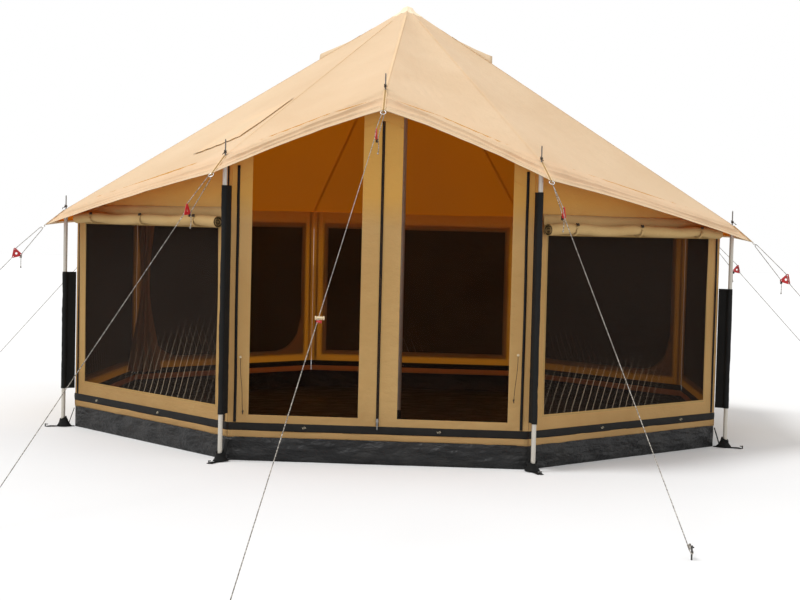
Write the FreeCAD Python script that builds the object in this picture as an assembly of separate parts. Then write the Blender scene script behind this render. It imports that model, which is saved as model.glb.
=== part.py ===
import FreeCAD, Part
import math
import os

# An eight-sided canvas cabin tent on poles.
# Millimetres. +Z is up, the doors face -Y, and the origin is on the ground at the tent's middle.

# ---- Driving dimensions ----
side_count = 8
pole_circle = 2500.0          # the eight corner poles stand on this radius
front_pole_height = 1873.0    # where the two poles beside the doors meet the roof
side_pole_height = 1529.0     # the other six
door_pole_height = 2300.0
door_pole_y = -2195.0
peak_height = 3100.0

canvas_thickness = 4.0
valance_thickness = 3.0
valance_reach = 140.0         # how far the corner tips hang out past the poles
valance_drop = 115.0
door_tip_drop = 140.0
hem_reach = 90.0              # at the middle of each side, where the hem is cut back
hem_drop = 88.0
corner_chamfer = 16.0         # leaves the roof open round each spike

wall_apothem = 2232.0         # inner face of the walls
wall_thickness = 4.0
seam_gap = 3.0                # wall tops stay this far under the roof

floor_thickness = 3.0
tub_height = 160.0
hem_top = 185.0
base_zip_top = 235.0
window_low = 330.0
window_high = 1430.0
window_margin = 130.0
rounded_window_cut = 300.0
screen_thickness = 1.5
cover_thickness = 2.0
cover_lap = 40.0
roll_radius = 40.0
roll_height = 1475.0
roll_half_length = 850.0
tie_places = [-620.0, 0.0, 620.0]
tie_thickness = 2.0
tie_width = 20.0

jamb_width = 52.5
leaf_gap = 0.5
leaf_reach = 871.5            # from the hinge line to the centre zip
leaf_top = [(0.0, 1720.0), (420.0, 1945.0), (871.5, 2105.0)]   # (out from the hinge, height)
leaf_top_rail = 40.0
leaf_hinge_stile = 75.0
leaf_centre_stile = 120.0
leaf_sill = 285.0

zip_thickness = 2.5
zip_width = 18.0
door_zip_width = 8.0
corner_zip_inset = 35.0
slider_height = 22.0
slider_rest = 262.0
pull_length = 46.0

pole_radius = 14.0
pole_wall = 2.0
centre_pole_radius = 19.0
centre_joint_height = 1600.0
centre_stub_length = 120.0
slip_gap = 0.3
foot_height = 20.0
pole_headroom = 30.0          # tube tops stay this far below the roof's corners
spike_radius = 4.0
spike_height = 90.0
spike_step = 8.0              # above this the pin is its full free size
sleeve_radius = 20.0
sleeve_gap = 0.4
front_sleeve = (290.0, 1690.0)
side_sleeve = (270.0, 1090.0)
strap_width = 40.0
strap_thickness = 3.0
strap_end = 2618.0
peg_radius = 4.0
hook_radius = 3.0
guy_peg_height = 66.0
foot_peg_height = 22.0

ring_radius = 16.0
ring_wire = 2.5
rope_radius = 2.25
peg_loop_height = 35.0
plate_thickness = 4.0
plate_length = 45.0
plate_half_height = 28.0
plate_corner = 9.0
tensioner_side = 5.0          # the rope passes this far to each side of a tensioner's mid-plane

# ---- Directions and corners ----
corner_angles = {
    "front_right": -67.5,
    "right_front": -22.5,
    "right_back": 22.5,
    "back_right": 67.5,
    "back_left": 112.5,
    "left_back": 157.5,
    "left_front": 202.5,
    "front_left": 247.5,
}
corner_names = list(corner_angles)
side_angles = {
    "front": -90.0,
    "front_right": -45.0,
    "right": 0.0,
    "back_right": 45.0,
    "back": 90.0,
    "back_left": 135.0,
    "left": 180.0,
    "front_left": 225.0,
}
walled_sides = [side for side in side_angles if side != "front"]
rolled_sides = ["front_left", "front_right"]
covered_sides = ["left", "back_left", "back", "back_right", "right"]
rounded_sides = ["back_left", "back_right"]
half_side = wall_apothem * math.tan(math.pi / side_count)

# Each guyline: the peg's place on the ground and how far down the rope its tensioner sits.
guylines = {
    "door": (-224.0, -6500.0, 300.0),
    "front_right": (1605.0, -4690.0, 280.0),
    "front_left": (-1690.0, -4640.0, 330.0),
    "right_front": (3640.0, -1510.0, 290.0),
    "left_front": (-3640.0, -1510.0, 230.0),
    "right_back": (3800.0, 1570.0, 300.0),
    "left_back": (-3800.0, 1570.0, 300.0),
    "back_right": (1450.0, 3500.0, 260.0),
    "back_left": (-1450.0, 3500.0, 260.0),
}

# One guyline's route, in millimetres (along the rope, up, sideways). It starts at the knot by
# the peg, goes round the peg, up past the tensioner to the eave ring and back to the tensioner,
# where a short tail hangs. The first group is measured from the peg, the second from the
# tensioner's upper edge, and the third from the ring.
peg_route = [(-26.0, 0.0, 7.0), (10.0, 0.0, 8.0), (10.0, 0.0, -8.0), (-60.0, 0.0, -6.0)]
plate_route = [(plate_length, 0.0, -tensioner_side), (0.0, plate_half_height, -tensioner_side)]
ring_route = [(-9.0, 8.0, -tensioner_side), (-9.0, -8.0, tensioner_side)]
tail_drops = [(45.0, 9.0), (90.0, 2.0)]      # (down, sideways) from the tensioner's lower corner


def vec(x, y, z):
    return FreeCAD.Vector(x, y, z)


up = vec(0, 0, 1)


def polar(radius, angle, z=0.0):
    turn = math.radians(angle)
    return vec(radius * math.cos(turn), radius * math.sin(turn), z)


def unit(vector):
    return vector * (1.0 / vector.Length)


def save(node, solids):
    """Writes one node: its solids stay separate inside it."""
    shape = solids[0] if len(solids) == 1 else Part.makeCompound(solids)
    shape.exportStep("parts/" + node + ".step")


def face_of(points):
    return Part.Face(Part.makePolygon(points + [points[0]]))


def prism(points, along):
    """A closed solid from a flat outline pushed along a vector."""
    return face_of(points).extrude(along)


def rod(start, end, radius):
    along = end.sub(start)
    return Part.makeCylinder(radius, along.Length, start, along)


def tube(start, end, outer, inner):
    return rod(start, end, outer).cut(rod(start, end, inner))


# ---- Roof geometry ----
def pole_height(name):
    return front_pole_height if name in ("front_left", "front_right") else side_pole_height


peak = vec(0, 0, peak_height)
eave = {name: polar(pole_circle, angle, pole_height(name)) for name, angle in corner_angles.items()}
eave["door"] = vec(0, door_pole_y, door_pole_height)
tip = {}
for corner, corner_angle in corner_angles.items():
    tip[corner] = polar(pole_circle + valance_reach, corner_angle, pole_height(corner) - valance_drop)
tip["door"] = vec(0, door_pole_y - valance_reach, door_pole_height - door_tip_drop)
eave_order = ["door"] + corner_names
eave_pairs = [(name, eave_order[(i + 1) % len(eave_order)]) for i, name in enumerate(eave_order)]


def hem_middle(first, second):
    middle = (eave[first] + eave[second]) * 0.5
    run = eave[second].sub(eave[first])
    outward = unit(vec(run.y, -run.x, 0))
    return middle + outward * hem_reach - up * hem_drop


def roof_panels():
    return [[peak, eave[first], eave[second]] for first, second in eave_pairs]


def valance_panels():
    panels = []
    for first, second in eave_pairs:
        middle = hem_middle(first, second)
        panels.append([eave[second], eave[first], middle])
        panels.append([eave[first], tip[first], middle])
        panels.append([tip[second], eave[second], middle])
    return panels


def trimmed(triangle):
    """The triangle with its corners at the spikes cut back, so that the spikes pass."""
    eave_points = list(eave.values())
    outline = []
    for i, point in enumerate(triangle):
        if point in eave_points:
            for other in (triangle[i - 1], triangle[(i + 1) % 3]):
                outline.append(point + unit(other.sub(point)) * corner_chamfer)
        else:
            outline.append(point)
    return outline


def sheet_height(x, y):
    """The height of the roof's upper surface over a place, or of the valance's outside the eave."""
    for a, b, c in roof_panels() + valance_panels():
        area = (b.x - a.x) * (c.y - a.y) - (c.x - a.x) * (b.y - a.y)
        share_b = ((x - a.x) * (c.y - a.y) - (c.x - a.x) * (y - a.y)) / area
        share_c = ((b.x - a.x) * (y - a.y) - (x - a.x) * (b.y - a.y)) / area
        if min(share_b, share_c, 1 - share_b - share_c) > -1e-6:
            return a.z + share_b * (b.z - a.z) + share_c * (c.z - a.z)
    raise ValueError("no roof over this place")


def make_roof():
    save("roof_canvas", [prism(trimmed(panel), up * -canvas_thickness) for panel in roof_panels()])
    save("roof_valance", [prism(trimmed(panel), up * -valance_thickness) for panel in valance_panels()])


def make_peak_cap():
    cap_share = 0.05
    cap_thickness = 3.0
    solids = []
    for first, second in eave_pairs:
        corners = [peak + (eave[name].sub(peak)) * cap_share for name in (first, second)]
        solids.append(prism([peak] + corners, up * cap_thickness))
    save("peak_cap", solids)


# ---- Walls ----
def on_side(side, along, z, out=0.0):
    """A place on a side: along it to the left as seen from inside, up, and out from its inner face."""
    outward = polar(1.0, side_angles[side])
    sideways = vec(-outward.y, outward.x, 0)
    return outward * (wall_apothem + out) + sideways * along + up * z


def slab(side, outline, out, thickness):
    points = [on_side(side, along, z, out) for along, z in outline]
    return prism(points, polar(thickness, side_angles[side]))


def band(side, low, high, out, thickness, half_length=half_side):
    outline = [(-half_length, low), (half_length, low), (half_length, high), (-half_length, high)]
    return slab(side, outline, out, thickness)


def wall_top(side, along):
    place = on_side(side, along, 0, wall_thickness)
    return sheet_height(place.x, place.y) - canvas_thickness - seam_gap


def make_wall(side):
    window_half = half_side - window_margin
    solids = [band(side, base_zip_top, window_low, 0, wall_thickness)]
    for hand in (-1, 1):
        edge = hand * half_side
        inner = hand * window_half
        stile = [(edge, window_low), (inner, window_low), (inner, window_high), (edge, window_high)]
        solids.append(slab(side, stile, 0, wall_thickness))
        if side in rounded_sides:
            gusset = [(inner, window_low), (inner - hand * rounded_window_cut, window_low),
                      (inner, window_low + rounded_window_cut)]
            solids.append(slab(side, gusset, 0, wall_thickness))
    top = [(-half_side, window_high), (half_side, window_high),
           (half_side, wall_top(side, half_side)), (-half_side, wall_top(side, -half_side))]
    solids.append(slab(side, top, 0, wall_thickness))
    save("wall_" + side, solids)


def window_screen(side):
    reach = half_side - window_margin
    cut = rounded_window_cut if side in rounded_sides else 0.0
    outline = [(-reach + cut, window_low), (reach - cut, window_low)]
    if cut:
        outline += [(reach, window_low + cut)]
    outline += [(reach, window_high), (-reach, window_high)]
    if cut:
        outline += [(-reach, window_low + cut)]
    return slab(side, outline, 1.0, screen_thickness)


def make_covers():
    reach = half_side - window_margin + cover_lap
    low = window_low - cover_lap
    high = window_high + cover_lap
    closed = [band(side, low, high, wall_thickness, cover_thickness, reach) for side in covered_sides]
    save("closed_covers", closed)
    out = wall_thickness + roll_radius + 3.0
    rolls = []
    ties = []
    for side in rolled_sides:
        start = on_side(side, -roll_half_length, roll_height, out)
        end = on_side(side, roll_half_length, roll_height, out)
        rolls.append(rod(start, end, roll_radius))
        for place in tie_places:
            first = on_side(side, place - tie_width / 2, roll_height, out)
            last = on_side(side, place + tie_width / 2, roll_height, out)
            inner = roll_radius + slip_gap
            ties.append(tube(first, last, inner + tie_thickness, inner))
    save("rolled_covers", rolls)
    save("roll_ties", ties)


def make_base():
    sides = list(side_angles)
    floor_outline = [on_side(side, -half_side, 0) for side in sides]
    save("groundsheet_floor", [prism(floor_outline, up * floor_thickness)])
    save("groundsheet_sides", [band(side, 0, tub_height, 0, wall_thickness) for side in sides])
    save("tub_hem", [band(side, tub_height, hem_top, 0, wall_thickness) for side in sides])
    save("base_zips", [band(side, hem_top, base_zip_top, 0, wall_thickness + 1.0) for side in sides])


def make_corner_zips():
    """The zips down both edges of each wall, and those beside the doors."""
    solids = []
    for side in walled_sides:
        for hand in (-1, 1):
            middle = hand * (half_side - corner_zip_inset)
            top = min(wall_top(side, middle - zip_width / 2), wall_top(side, middle + zip_width / 2))
            solids.append(zip_strip(side, middle, zip_width, base_zip_top, top - 4.0))
    hinge = half_side - jamb_width
    for hand in (-1, 1):
        middle = hand * (hinge + 1.0 + zip_width / 2)
        solids.append(zip_strip("front", middle, zip_width, base_zip_top, leaf_top[0][1]))
    save("corner_zips", solids)


def zip_strip(side, middle, width, low, high):
    left = middle - width / 2
    right = middle + width / 2
    outline = [(left, low), (right, low), (right, high), (left, high)]
    return slab(side, outline, wall_thickness, zip_thickness)


# ---- Doors ----
def leaf_point(hand, reach, z):
    """A place on a door leaf in the front wall's own (along, up), from its hinge line."""
    return (hand * (half_side - jamb_width - reach), z)


def leaf_height(reach):
    for (near, low), (far, high) in zip(leaf_top, leaf_top[1:]):
        if reach <= far:
            return low + (high - low) * (reach - near) / (far - near)
    return leaf_top[-1][1]


def leaf_slab(hand, outline, out=0.0, thickness=wall_thickness):
    return slab("front", [leaf_point(hand, reach, z) for reach, z in outline], out, thickness)


def make_door(name, hand):
    centre_edge = leaf_reach - leaf_centre_stile
    bend = leaf_top[1][0]
    rail = leaf_top_rail
    solids = [
        leaf_slab(hand, [(0, base_zip_top), (leaf_hinge_stile, base_zip_top),
                         (leaf_hinge_stile, leaf_height(leaf_hinge_stile)), (0, leaf_height(0))]),
        leaf_slab(hand, [(centre_edge, base_zip_top), (leaf_reach, base_zip_top),
                         (leaf_reach, leaf_height(leaf_reach)), (centre_edge, leaf_height(centre_edge))]),
        leaf_slab(hand, [(leaf_hinge_stile, base_zip_top), (centre_edge, base_zip_top),
                         (centre_edge, leaf_sill), (leaf_hinge_stile, leaf_sill)]),
    ]
    for near, far in ((leaf_hinge_stile, bend), (bend, centre_edge)):
        solids.append(leaf_slab(hand, [(near, leaf_height(near) - rail), (far, leaf_height(far) - rail),
                                       (far, leaf_height(far)), (near, leaf_height(near))]))
    save(name, solids)
    screens = []
    for near, far in ((leaf_hinge_stile, bend), (bend, centre_edge)):
        outline = [(near, leaf_sill), (far, leaf_sill),
                   (far, leaf_height(far) - rail), (near, leaf_height(near) - rail)]
        screens.append(leaf_slab(hand, outline, 1.0, screen_thickness))
    save(name + "_screen", screens)
    edge = leaf_reach - door_zip_width
    tape = [(edge, base_zip_top), (leaf_reach, base_zip_top),
            (leaf_reach, leaf_height(leaf_reach)), (edge, leaf_height(edge))]
    save(name.replace("door", "door_zip"), [leaf_slab(hand, tape, wall_thickness, zip_thickness)])


def make_door_frame():
    """The canvas round the door leaves: two jambs, and a header that follows the roof."""
    solids = []
    hinge = half_side - jamb_width + leaf_gap
    top_line = leaf_top[-1][0]
    for hand in (-1, 1):
        jamb = [(hand * half_side, base_zip_top), (hand * hinge, base_zip_top),
                (hand * hinge, wall_top("front", hand * hinge)),
                (hand * half_side, wall_top("front", hand * half_side))]
        solids.append(slab("front", jamb, 0, wall_thickness))
        crossing = eave_crossing()
        stops = sorted([-leaf_gap, leaf_top[1][0], half_side - jamb_width - crossing, top_line + leaf_gap])
        for near, far in zip(stops, stops[1:]):
            outline = []
            for reach in (near, far):
                along, low = leaf_point(hand, reach, leaf_height(reach) + seam_gap)
                outline.append((along, low))
            for reach in (far, near):
                along = leaf_point(hand, reach, 0)[0]
                outline.append((along, wall_top("front", along)))
            solids.append(slab("front", outline, 0, wall_thickness))
    save("door_frame", solids)


def eave_crossing():
    """How far from the middle the eave line crosses the front wall's outer face."""
    corner = eave["front_right"]
    share = (wall_apothem + wall_thickness + door_pole_y) / (-corner.y + door_pole_y)
    return corner.x * share


def make_zip_slider():
    out = wall_thickness + zip_thickness + slip_gap
    body_outline = [(-8, 0), (8, 0), (6, slider_height), (-6, slider_height)]
    body = slab("front", [(along, slider_rest + z) for along, z in body_outline], out, 5.0)
    pull_outline = [(-3, -pull_length), (3, -pull_length), (4, 6), (-4, 6)]
    pull = slab("front", [(along, slider_rest + z) for along, z in pull_outline], out + 5.0, 1.6)
    save("door_zip_slider", [body.fuse(pull)])


# ---- Vents and stove flap ----
def make_vents():
    hood_reach = 490.0
    hood_half = 150.0
    hood_rise = 80.0
    skin = 3.0
    solids = []
    for angle in (0.0, 180.0):
        outward = polar(1.0, angle)
        sideways = vec(-outward.y, outward.x, 0)
        high = on_roof(outward * (hood_reach - hood_half))
        low = on_roof(outward * (hood_reach + hood_half))
        lip = low + up * hood_rise
        for hand in (-1, 1):
            cheek = [point + sideways * (hand * hood_half) for point in (high, low, lip)]
            solids.append(prism(cheek, sideways * (-hand * skin)))
        left = sideways * hood_half
        roof_flap = [high + left, high - left, lip - left, lip + left]
        solids.append(prism(roof_flap, up * skin))
    save("vent_hoods", solids)


def on_roof(place):
    return vec(place.x, place.y, sheet_height(place.x, place.y) + 0.5)


def flap_corner(down, across):
    """A place on the roof between the front-left poles: a share of the way down from the peak,
    then a share of the way across from the front corner."""
    front = peak + (eave["front_left"].sub(peak)) * down
    back = peak + (eave["left_front"].sub(peak)) * down
    return front + (back.sub(front)) * across


def make_stove_flap():
    outline = [flap_corner(0.655, 0.03), flap_corner(0.86, 0.10), flap_corner(0.86, 0.42),
               flap_corner(0.655, 0.42)]
    lift = unit((outline[1].sub(outline[0])).cross(outline[2].sub(outline[0])))
    if lift.z < 0:
        lift = lift * -1.0
    jack = [flap_corner(0.70, 0.14), flap_corner(0.83, 0.22), flap_corner(0.83, 0.38),
            flap_corner(0.70, 0.38)]
    jack_thickness = 1.5
    save("stove_jack", [prism([point + lift * 0.5 for point in jack], lift * jack_thickness)])
    save("stove_flap", [prism([point + lift * 3.0 for point in outline], lift * 3.0)])
    print("stove flap hinge", outline[0] + lift * 6.0, outline[3] + lift * 6.0)


# ---- Poles ----
def pole_tube(x, y, low, high, radius):
    return tube(vec(x, y, low), vec(x, y, high), radius, radius - pole_wall)


def foot_plug(x, y, low):
    flange = rod(vec(x, y, low), vec(x, y, low + foot_height), pole_radius + 1.0)
    stub_radius = pole_radius - pole_wall - slip_gap
    stub = rod(vec(x, y, low + foot_height), vec(x, y, low + 2 * foot_height), stub_radius)
    return flange.fuse(stub)


def spike(x, y, height):
    """The steel pin in the top of a pole, which goes up through the roof."""
    seat = height - pole_headroom
    stub_radius = pole_radius - pole_wall - slip_gap
    stub = rod(vec(x, y, seat - 2 * foot_height), vec(x, y, seat), stub_radius)
    collar = rod(vec(x, y, seat), vec(x, y, seat + spike_radius), pole_radius)
    shank = rod(vec(x, y, seat), vec(x, y, height + spike_step), spike_radius + 0.5)
    pin = rod(vec(x, y, height + spike_step), vec(x, y, height + spike_height), spike_radius)
    nose = Part.makeCone(spike_radius, 2.0, 6.0, vec(x, y, height + spike_height))
    return stub.fuse([collar, shank, pin, nose])


def make_poles():
    tubes = []
    feet = []
    spikes = []
    for name in corner_names:
        place = eave[name]
        low = strap_thickness
        tubes.append(pole_tube(place.x, place.y, low + foot_height, place.z - pole_headroom, pole_radius))
        feet.append(foot_plug(place.x, place.y, low))
        spikes.append(spike(place.x, place.y, place.z))
    save("corner_poles", tubes)
    low = floor_thickness
    top = door_pole_height - pole_headroom
    save("door_pole", [pole_tube(0, door_pole_y, low + foot_height, top, pole_radius)])
    feet.append(foot_plug(0, door_pole_y, low))
    spikes.append(spike(0, door_pole_y, door_pole_height))
    save("pole_spikes", spikes)
    feet.append(centre_foot())
    save("pole_feet", feet)


def centre_foot():
    pad_radius = 70.0
    pad_height = 12.0
    socket_height = 60.0
    low = floor_thickness
    pad = rod(vec(0, 0, low), vec(0, 0, low + pad_height), pad_radius)
    inner = centre_pole_radius + slip_gap
    socket = tube(vec(0, 0, low + pad_height), vec(0, 0, low + pad_height + socket_height), inner + 5.0, inner)
    return pad.fuse(socket)


def make_centre_pole():
    head_radius = 40.0
    head_nose = 4.0
    head_height = 24.0
    head_plate = 6.0
    head_socket = 60.0
    foot_top = floor_thickness + 12.0
    head_base = peak_height - canvas_thickness - 5.0 - head_height
    top = head_base - head_plate
    save("centre_pole_lower", [pole_tube(0, 0, foot_top, centre_joint_height, centre_pole_radius)])
    upper = pole_tube(0, 0, centre_joint_height, top, centre_pole_radius)
    stub_radius = centre_pole_radius - pole_wall - slip_gap
    stub = pole_tube(0, 0, centre_joint_height - centre_stub_length, centre_joint_height, stub_radius)
    shoulder = tube(vec(0, 0, centre_joint_height), vec(0, 0, centre_joint_height + pole_wall),
                    centre_pole_radius, stub_radius - pole_wall)
    save("centre_pole_upper", [upper.fuse([stub, shoulder])])
    dome = Part.makeCone(head_radius, head_nose, head_height, vec(0, 0, head_base))
    plate = rod(vec(0, 0, top), vec(0, 0, head_base), head_radius)
    inner = centre_pole_radius + slip_gap
    socket = tube(vec(0, 0, top - head_socket), vec(0, 0, top), inner + 4.0, inner)
    save("centre_pole_head", [dome.fuse([plate, socket])])


def make_sleeves():
    wall_corner = wall_apothem / math.cos(math.pi / side_count) + wall_thickness + 4.0
    solids = []
    for name, angle in corner_angles.items():
        low, high = front_sleeve if pole_height(name) == front_pole_height else side_sleeve
        inner = pole_radius + sleeve_gap
        solids.append(tube(polar(pole_circle, angle, low), polar(pole_circle, angle, high),
                           sleeve_radius, inner))
        reach = pole_circle - sleeve_radius - slip_gap
        wing = [polar(wall_corner, angle, low), polar(reach, angle, low),
                polar(reach, angle, high), polar(wall_corner, angle, high)]
        solids.append(prism(wing, polar(strap_thickness, angle + 90.0)))
    save("pole_sleeves", solids)


# ---- Straps, rings and pegs ----
def eave_line(name):
    """The way a corner of the valance slopes, out and down."""
    return unit(tip[name].sub(eave[name]))


def ring_wire_place(name):
    """The lowest place on the wire of a corner's ring, where the rope hangs."""
    return tip[name] + eave_line(name) * (2 * ring_radius + 4.0)


def make_straps():
    solids = []
    wall_corner = wall_apothem / math.cos(math.pi / side_count) + wall_thickness + 2.0
    for angle in corner_angles.values():
        across = polar(strap_width / 2, angle + 90.0)
        near = polar(wall_corner, angle)
        far = polar(strap_end, angle)
        solids.append(prism([near + across, far + across, far - across, near - across],
                            up * strap_thickness))
        tab = [polar(wall_corner, angle, strap_thickness), polar(wall_corner + 45.0, angle, strap_thickness),
               polar(wall_corner, angle, tub_height - 30.0)]
        solids.append(prism(tab, polar(strap_thickness, angle + 90.0)))
    for name in eave_order:
        along = eave_line(name)
        across = unit(up.cross(along))
        lift = along.cross(across)
        if lift.z < 0:
            lift = lift * -1.0
        half = across * 4.0
        near = eave[name] + along * 9.0 + lift * 4.0
        far = tip[name] + along * 3.0 + lift * 4.0
        solids.append(prism([near + half, far + half, far - half, near - half], lift * 2.5))
    save("webbing_straps", solids)


def make_rings():
    solids = []
    for name in eave_order:
        along = eave_line(name)
        across = unit(up.cross(along))
        centre = ring_wire_place(name) - along * ring_radius
        solids.append(Part.makeTorus(ring_radius, ring_wire, centre, along.cross(across)))
    save("steel_rings", solids)


def peg(place, height, back):
    shank = rod(place, place + up * height, peg_radius)
    bend = place + up * (height - peg_radius - 1.0)
    return shank.fuse(rod(bend, bend + back, hook_radius))


def make_pegs():
    foot_pegs = []
    for angle in corner_angles.values():
        place = polar(strap_end + peg_radius + 1.0, angle)
        foot_pegs.append(peg(place, foot_peg_height, polar(-18.0, angle)))
    save("foot_pegs", foot_pegs)
    guy_pegs = []
    for name, (x, y, _) in guylines.items():
        place = vec(x, y, 0)
        away = unit(vec(x, y, 0).sub(vec(eave[name].x, eave[name].y, 0)))
        guy_pegs.append(peg(place, guy_peg_height, away * 20.0))
    save("guy_pegs", guy_pegs)


# ---- Guylines ----
def guy_frame(name):
    x, y, tensioner = guylines[name]
    start = ring_wire_place(name)
    end = vec(x, y, peg_loop_height)
    along = unit(end.sub(start))
    sideways = unit(up.cross(along))
    lift = along.cross(sideways)
    length = end.sub(start).Length

    def place(distance, rise, side):
        return start + along * distance + lift * rise + sideways * side

    return place, length, tensioner, along, sideways


def guy_route(name):
    place, length, tensioner, _, sideways = guy_frame(name)
    route = [place(length + a, b, c) for a, b, c in peg_route]
    route += [place(tensioner + a, b, c) for a, b, c in plate_route]
    route += [place(a, b, c) for a, b, c in ring_route]
    corner = place(tensioner, -plate_half_height, tensioner_side)
    route.append(corner)
    route += [corner - up * down + sideways * side for down, side in tail_drops]
    return route


def rounded_path(route):
    """Straight runs joined by tangent arcs, as large as the two runs at each point allow."""
    edges = []
    radii = []
    start = route[0]
    for before, point, after in zip(route, route[1:], route[2:]):
        arriving = unit(point.sub(before))
        leaving = unit(after.sub(point))
        turn = arriving.getAngle(leaving)
        shorter = min(point.sub(before).Length, after.sub(point).Length)
        tangent = 0.45 * shorter
        radius = tangent / math.tan(turn / 2)
        radii.append(radius)
        arc_start = point - arriving * tangent
        arc_end = point + leaving * tangent
        bisector = unit(leaving.sub(arriving))
        middle = point + bisector * (radius / math.cos(turn / 2) - radius)
        edges.append(Part.LineSegment(start, arc_start).toShape())
        edges.append(Part.Arc(arc_start, middle, arc_end).toShape())
        start = arc_end
    edges.append(Part.LineSegment(start, route[-1]).toShape())
    return Part.Wire(edges), radii


def make_guyline(name):
    route = guy_route(name)
    path, radii = rounded_path(route)
    circle = Part.makeCircle(rope_radius, route[0], route[1].sub(route[0]))
    rope = path.makePipeShell([Part.Wire([circle])], True, False, 1)
    expected = math.pi * rope_radius ** 2 * path.Length
    rounded = ", ".join("%.0f" % radius for radius in radii)
    print("guyline %s: %.0f long, radii %s, volume %.4f of expected"
          % (name, path.Length, rounded, rope.Volume / expected))
    save("guyline_" + name, [rope])


def make_tensioner(name):
    """A triangular plate with a hole at each corner and one in its middle."""
    place, _, tensioner, along, sideways = guy_frame(name)
    corners = [(tensioner + plate_length, 0.0), (tensioner, plate_half_height),
               (tensioner, -plate_half_height)]
    half = plate_thickness / 2
    plate = prism([place(a, b, -half) for a, b in corners], sideways * plate_thickness)
    for i, (a, b) in enumerate(corners):
        eye = place(a, b, -half)
        plate = plate.fuse(Part.makeCylinder(plate_corner, plate_thickness, eye, sideways))
        next_a, next_b = corners[(i + 1) % 3]
        run = unit(vec(next_a - a, next_b - b, 0))
        aside = vec(run.y, -run.x, 0) * plate_corner
        edge = [(a, b), (a + aside.x, b + aside.y), (next_a + aside.x, next_b + aside.y), (next_a, next_b)]
        inner_edge = [(a, b), (a - aside.x, b - aside.y), (next_a - aside.x, next_b - aside.y),
                      (next_a, next_b)]
        for outline in (edge, inner_edge):
            points = [place(p, q, -half) for p, q in outline]
            plate = plate.fuse(prism(points, sideways * plate_thickness))
    for a, b in corners:
        plate = plate.cut(Part.makeCylinder(3.0, plate_thickness, place(a, b, -half), sideways))
    centre = place(tensioner + plate_length / 3, 0, -half)
    plate = plate.cut(Part.makeCylinder(8.0, plate_thickness, centre, sideways)).removeSplitter()
    save("tensioner_" + name, [plate.Solids[0]])
    print("tensioner %s: axis %s" % (name, along * -1.0))


os.makedirs("parts", exist_ok=True)
make_roof()
make_peak_cap()
make_vents()
make_stove_flap()
for walled in walled_sides:
    make_wall(walled)
save("window_screens", [window_screen(side) for side in walled_sides])
make_covers()
make_base()
make_corner_zips()
make_door("door_left", -1)
make_door("door_right", 1)
make_door_frame()
make_zip_slider()
make_poles()
make_centre_pole()
make_sleeves()
make_straps()
make_rings()
make_pegs()
for guyline in guylines:
    make_guyline(guyline)
    make_tensioner(guyline)
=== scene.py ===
import math
import bpy
import bmesh
from mathutils import Matrix, Vector, noise


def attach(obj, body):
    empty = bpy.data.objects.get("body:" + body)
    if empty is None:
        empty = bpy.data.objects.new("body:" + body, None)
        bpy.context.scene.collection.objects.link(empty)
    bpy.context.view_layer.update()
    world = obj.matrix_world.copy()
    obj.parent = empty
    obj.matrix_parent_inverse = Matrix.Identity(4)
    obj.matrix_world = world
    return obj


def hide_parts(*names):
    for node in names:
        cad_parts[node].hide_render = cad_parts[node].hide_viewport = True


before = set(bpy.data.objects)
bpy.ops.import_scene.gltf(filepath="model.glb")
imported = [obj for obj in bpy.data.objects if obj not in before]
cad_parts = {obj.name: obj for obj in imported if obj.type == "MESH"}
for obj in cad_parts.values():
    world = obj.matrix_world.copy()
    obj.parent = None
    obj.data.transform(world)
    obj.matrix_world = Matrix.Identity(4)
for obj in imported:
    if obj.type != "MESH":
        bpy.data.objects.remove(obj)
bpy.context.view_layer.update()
up = Vector((0, 0, 1))

# Where the tent stands, in metres: the same plan as the solid model.
tentPlan = {
    "poleCircle": 2.5,
    "frontPoleHeight": 1.873,
    "sidePoleHeight": 1.529,
    "doorPole": (0.0, -2.195, 2.3),
    "peakHeight": 3.1,
    "valanceReach": 0.14,
    "valanceDrop": 0.115,
    "doorTipDrop": 0.14,
    "hemReach": 0.09,
    "hemDrop": 0.088,
    "wallApothem": 2.232,
}
cornerAngles = {
    "front_right": -67.5,
    "right_front": -22.5,
    "right_back": 22.5,
    "back_right": 67.5,
    "back_left": 112.5,
    "left_back": 157.5,
    "left_front": 202.5,
    "front_left": 247.5,
}
sideAngles = {
    "front": -90.0,
    "front_right": -45.0,
    "right": 0.0,
    "back_right": 45.0,
    "back": 90.0,
    "back_left": 135.0,
    "left": 180.0,
    "front_left": 225.0,
}
walledSides = [side for side in sideAngles if side != "front"]
halfSide = tentPlan["wallApothem"] * math.tan(math.pi / 8)


def polar(radius, angle, z=0.0):
    turn = math.radians(angle)
    return Vector((radius * math.cos(turn), radius * math.sin(turn), z))


def poleHeight(name):
    return tentPlan["frontPoleHeight" if name in ("front_left", "front_right") else "sidePoleHeight"]


def mixed(first, second, share):
    return first + (second - first) * share


peak = Vector((0, 0, tentPlan["peakHeight"]))
eave = {name: polar(tentPlan["poleCircle"], angle, poleHeight(name)) for name, angle in cornerAngles.items()}
eave["door"] = Vector(tentPlan["doorPole"])
tip = {}
for cornerName, cornerAngle in cornerAngles.items():
    tipRadius = tentPlan["poleCircle"] + tentPlan["valanceReach"]
    tip[cornerName] = polar(tipRadius, cornerAngle, poleHeight(cornerName) - tentPlan["valanceDrop"])
tip["door"] = eave["door"] + Vector((0, -tentPlan["valanceReach"], -tentPlan["doorTipDrop"]))
eaveOrder = ["door"] + list(cornerAngles)
eavePairs = [(name, eaveOrder[(i + 1) % len(eaveOrder)]) for i, name in enumerate(eaveOrder)]


def sideOutward(first, second):
    run = eave[second] - eave[first]
    return Vector((run.y, -run.x, 0)).normalized()


def hemMiddle(first, second):
    middle = (eave[first] + eave[second]) * 0.5
    return middle + sideOutward(first, second) * tentPlan["hemReach"] - up * tentPlan["hemDrop"]


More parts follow.
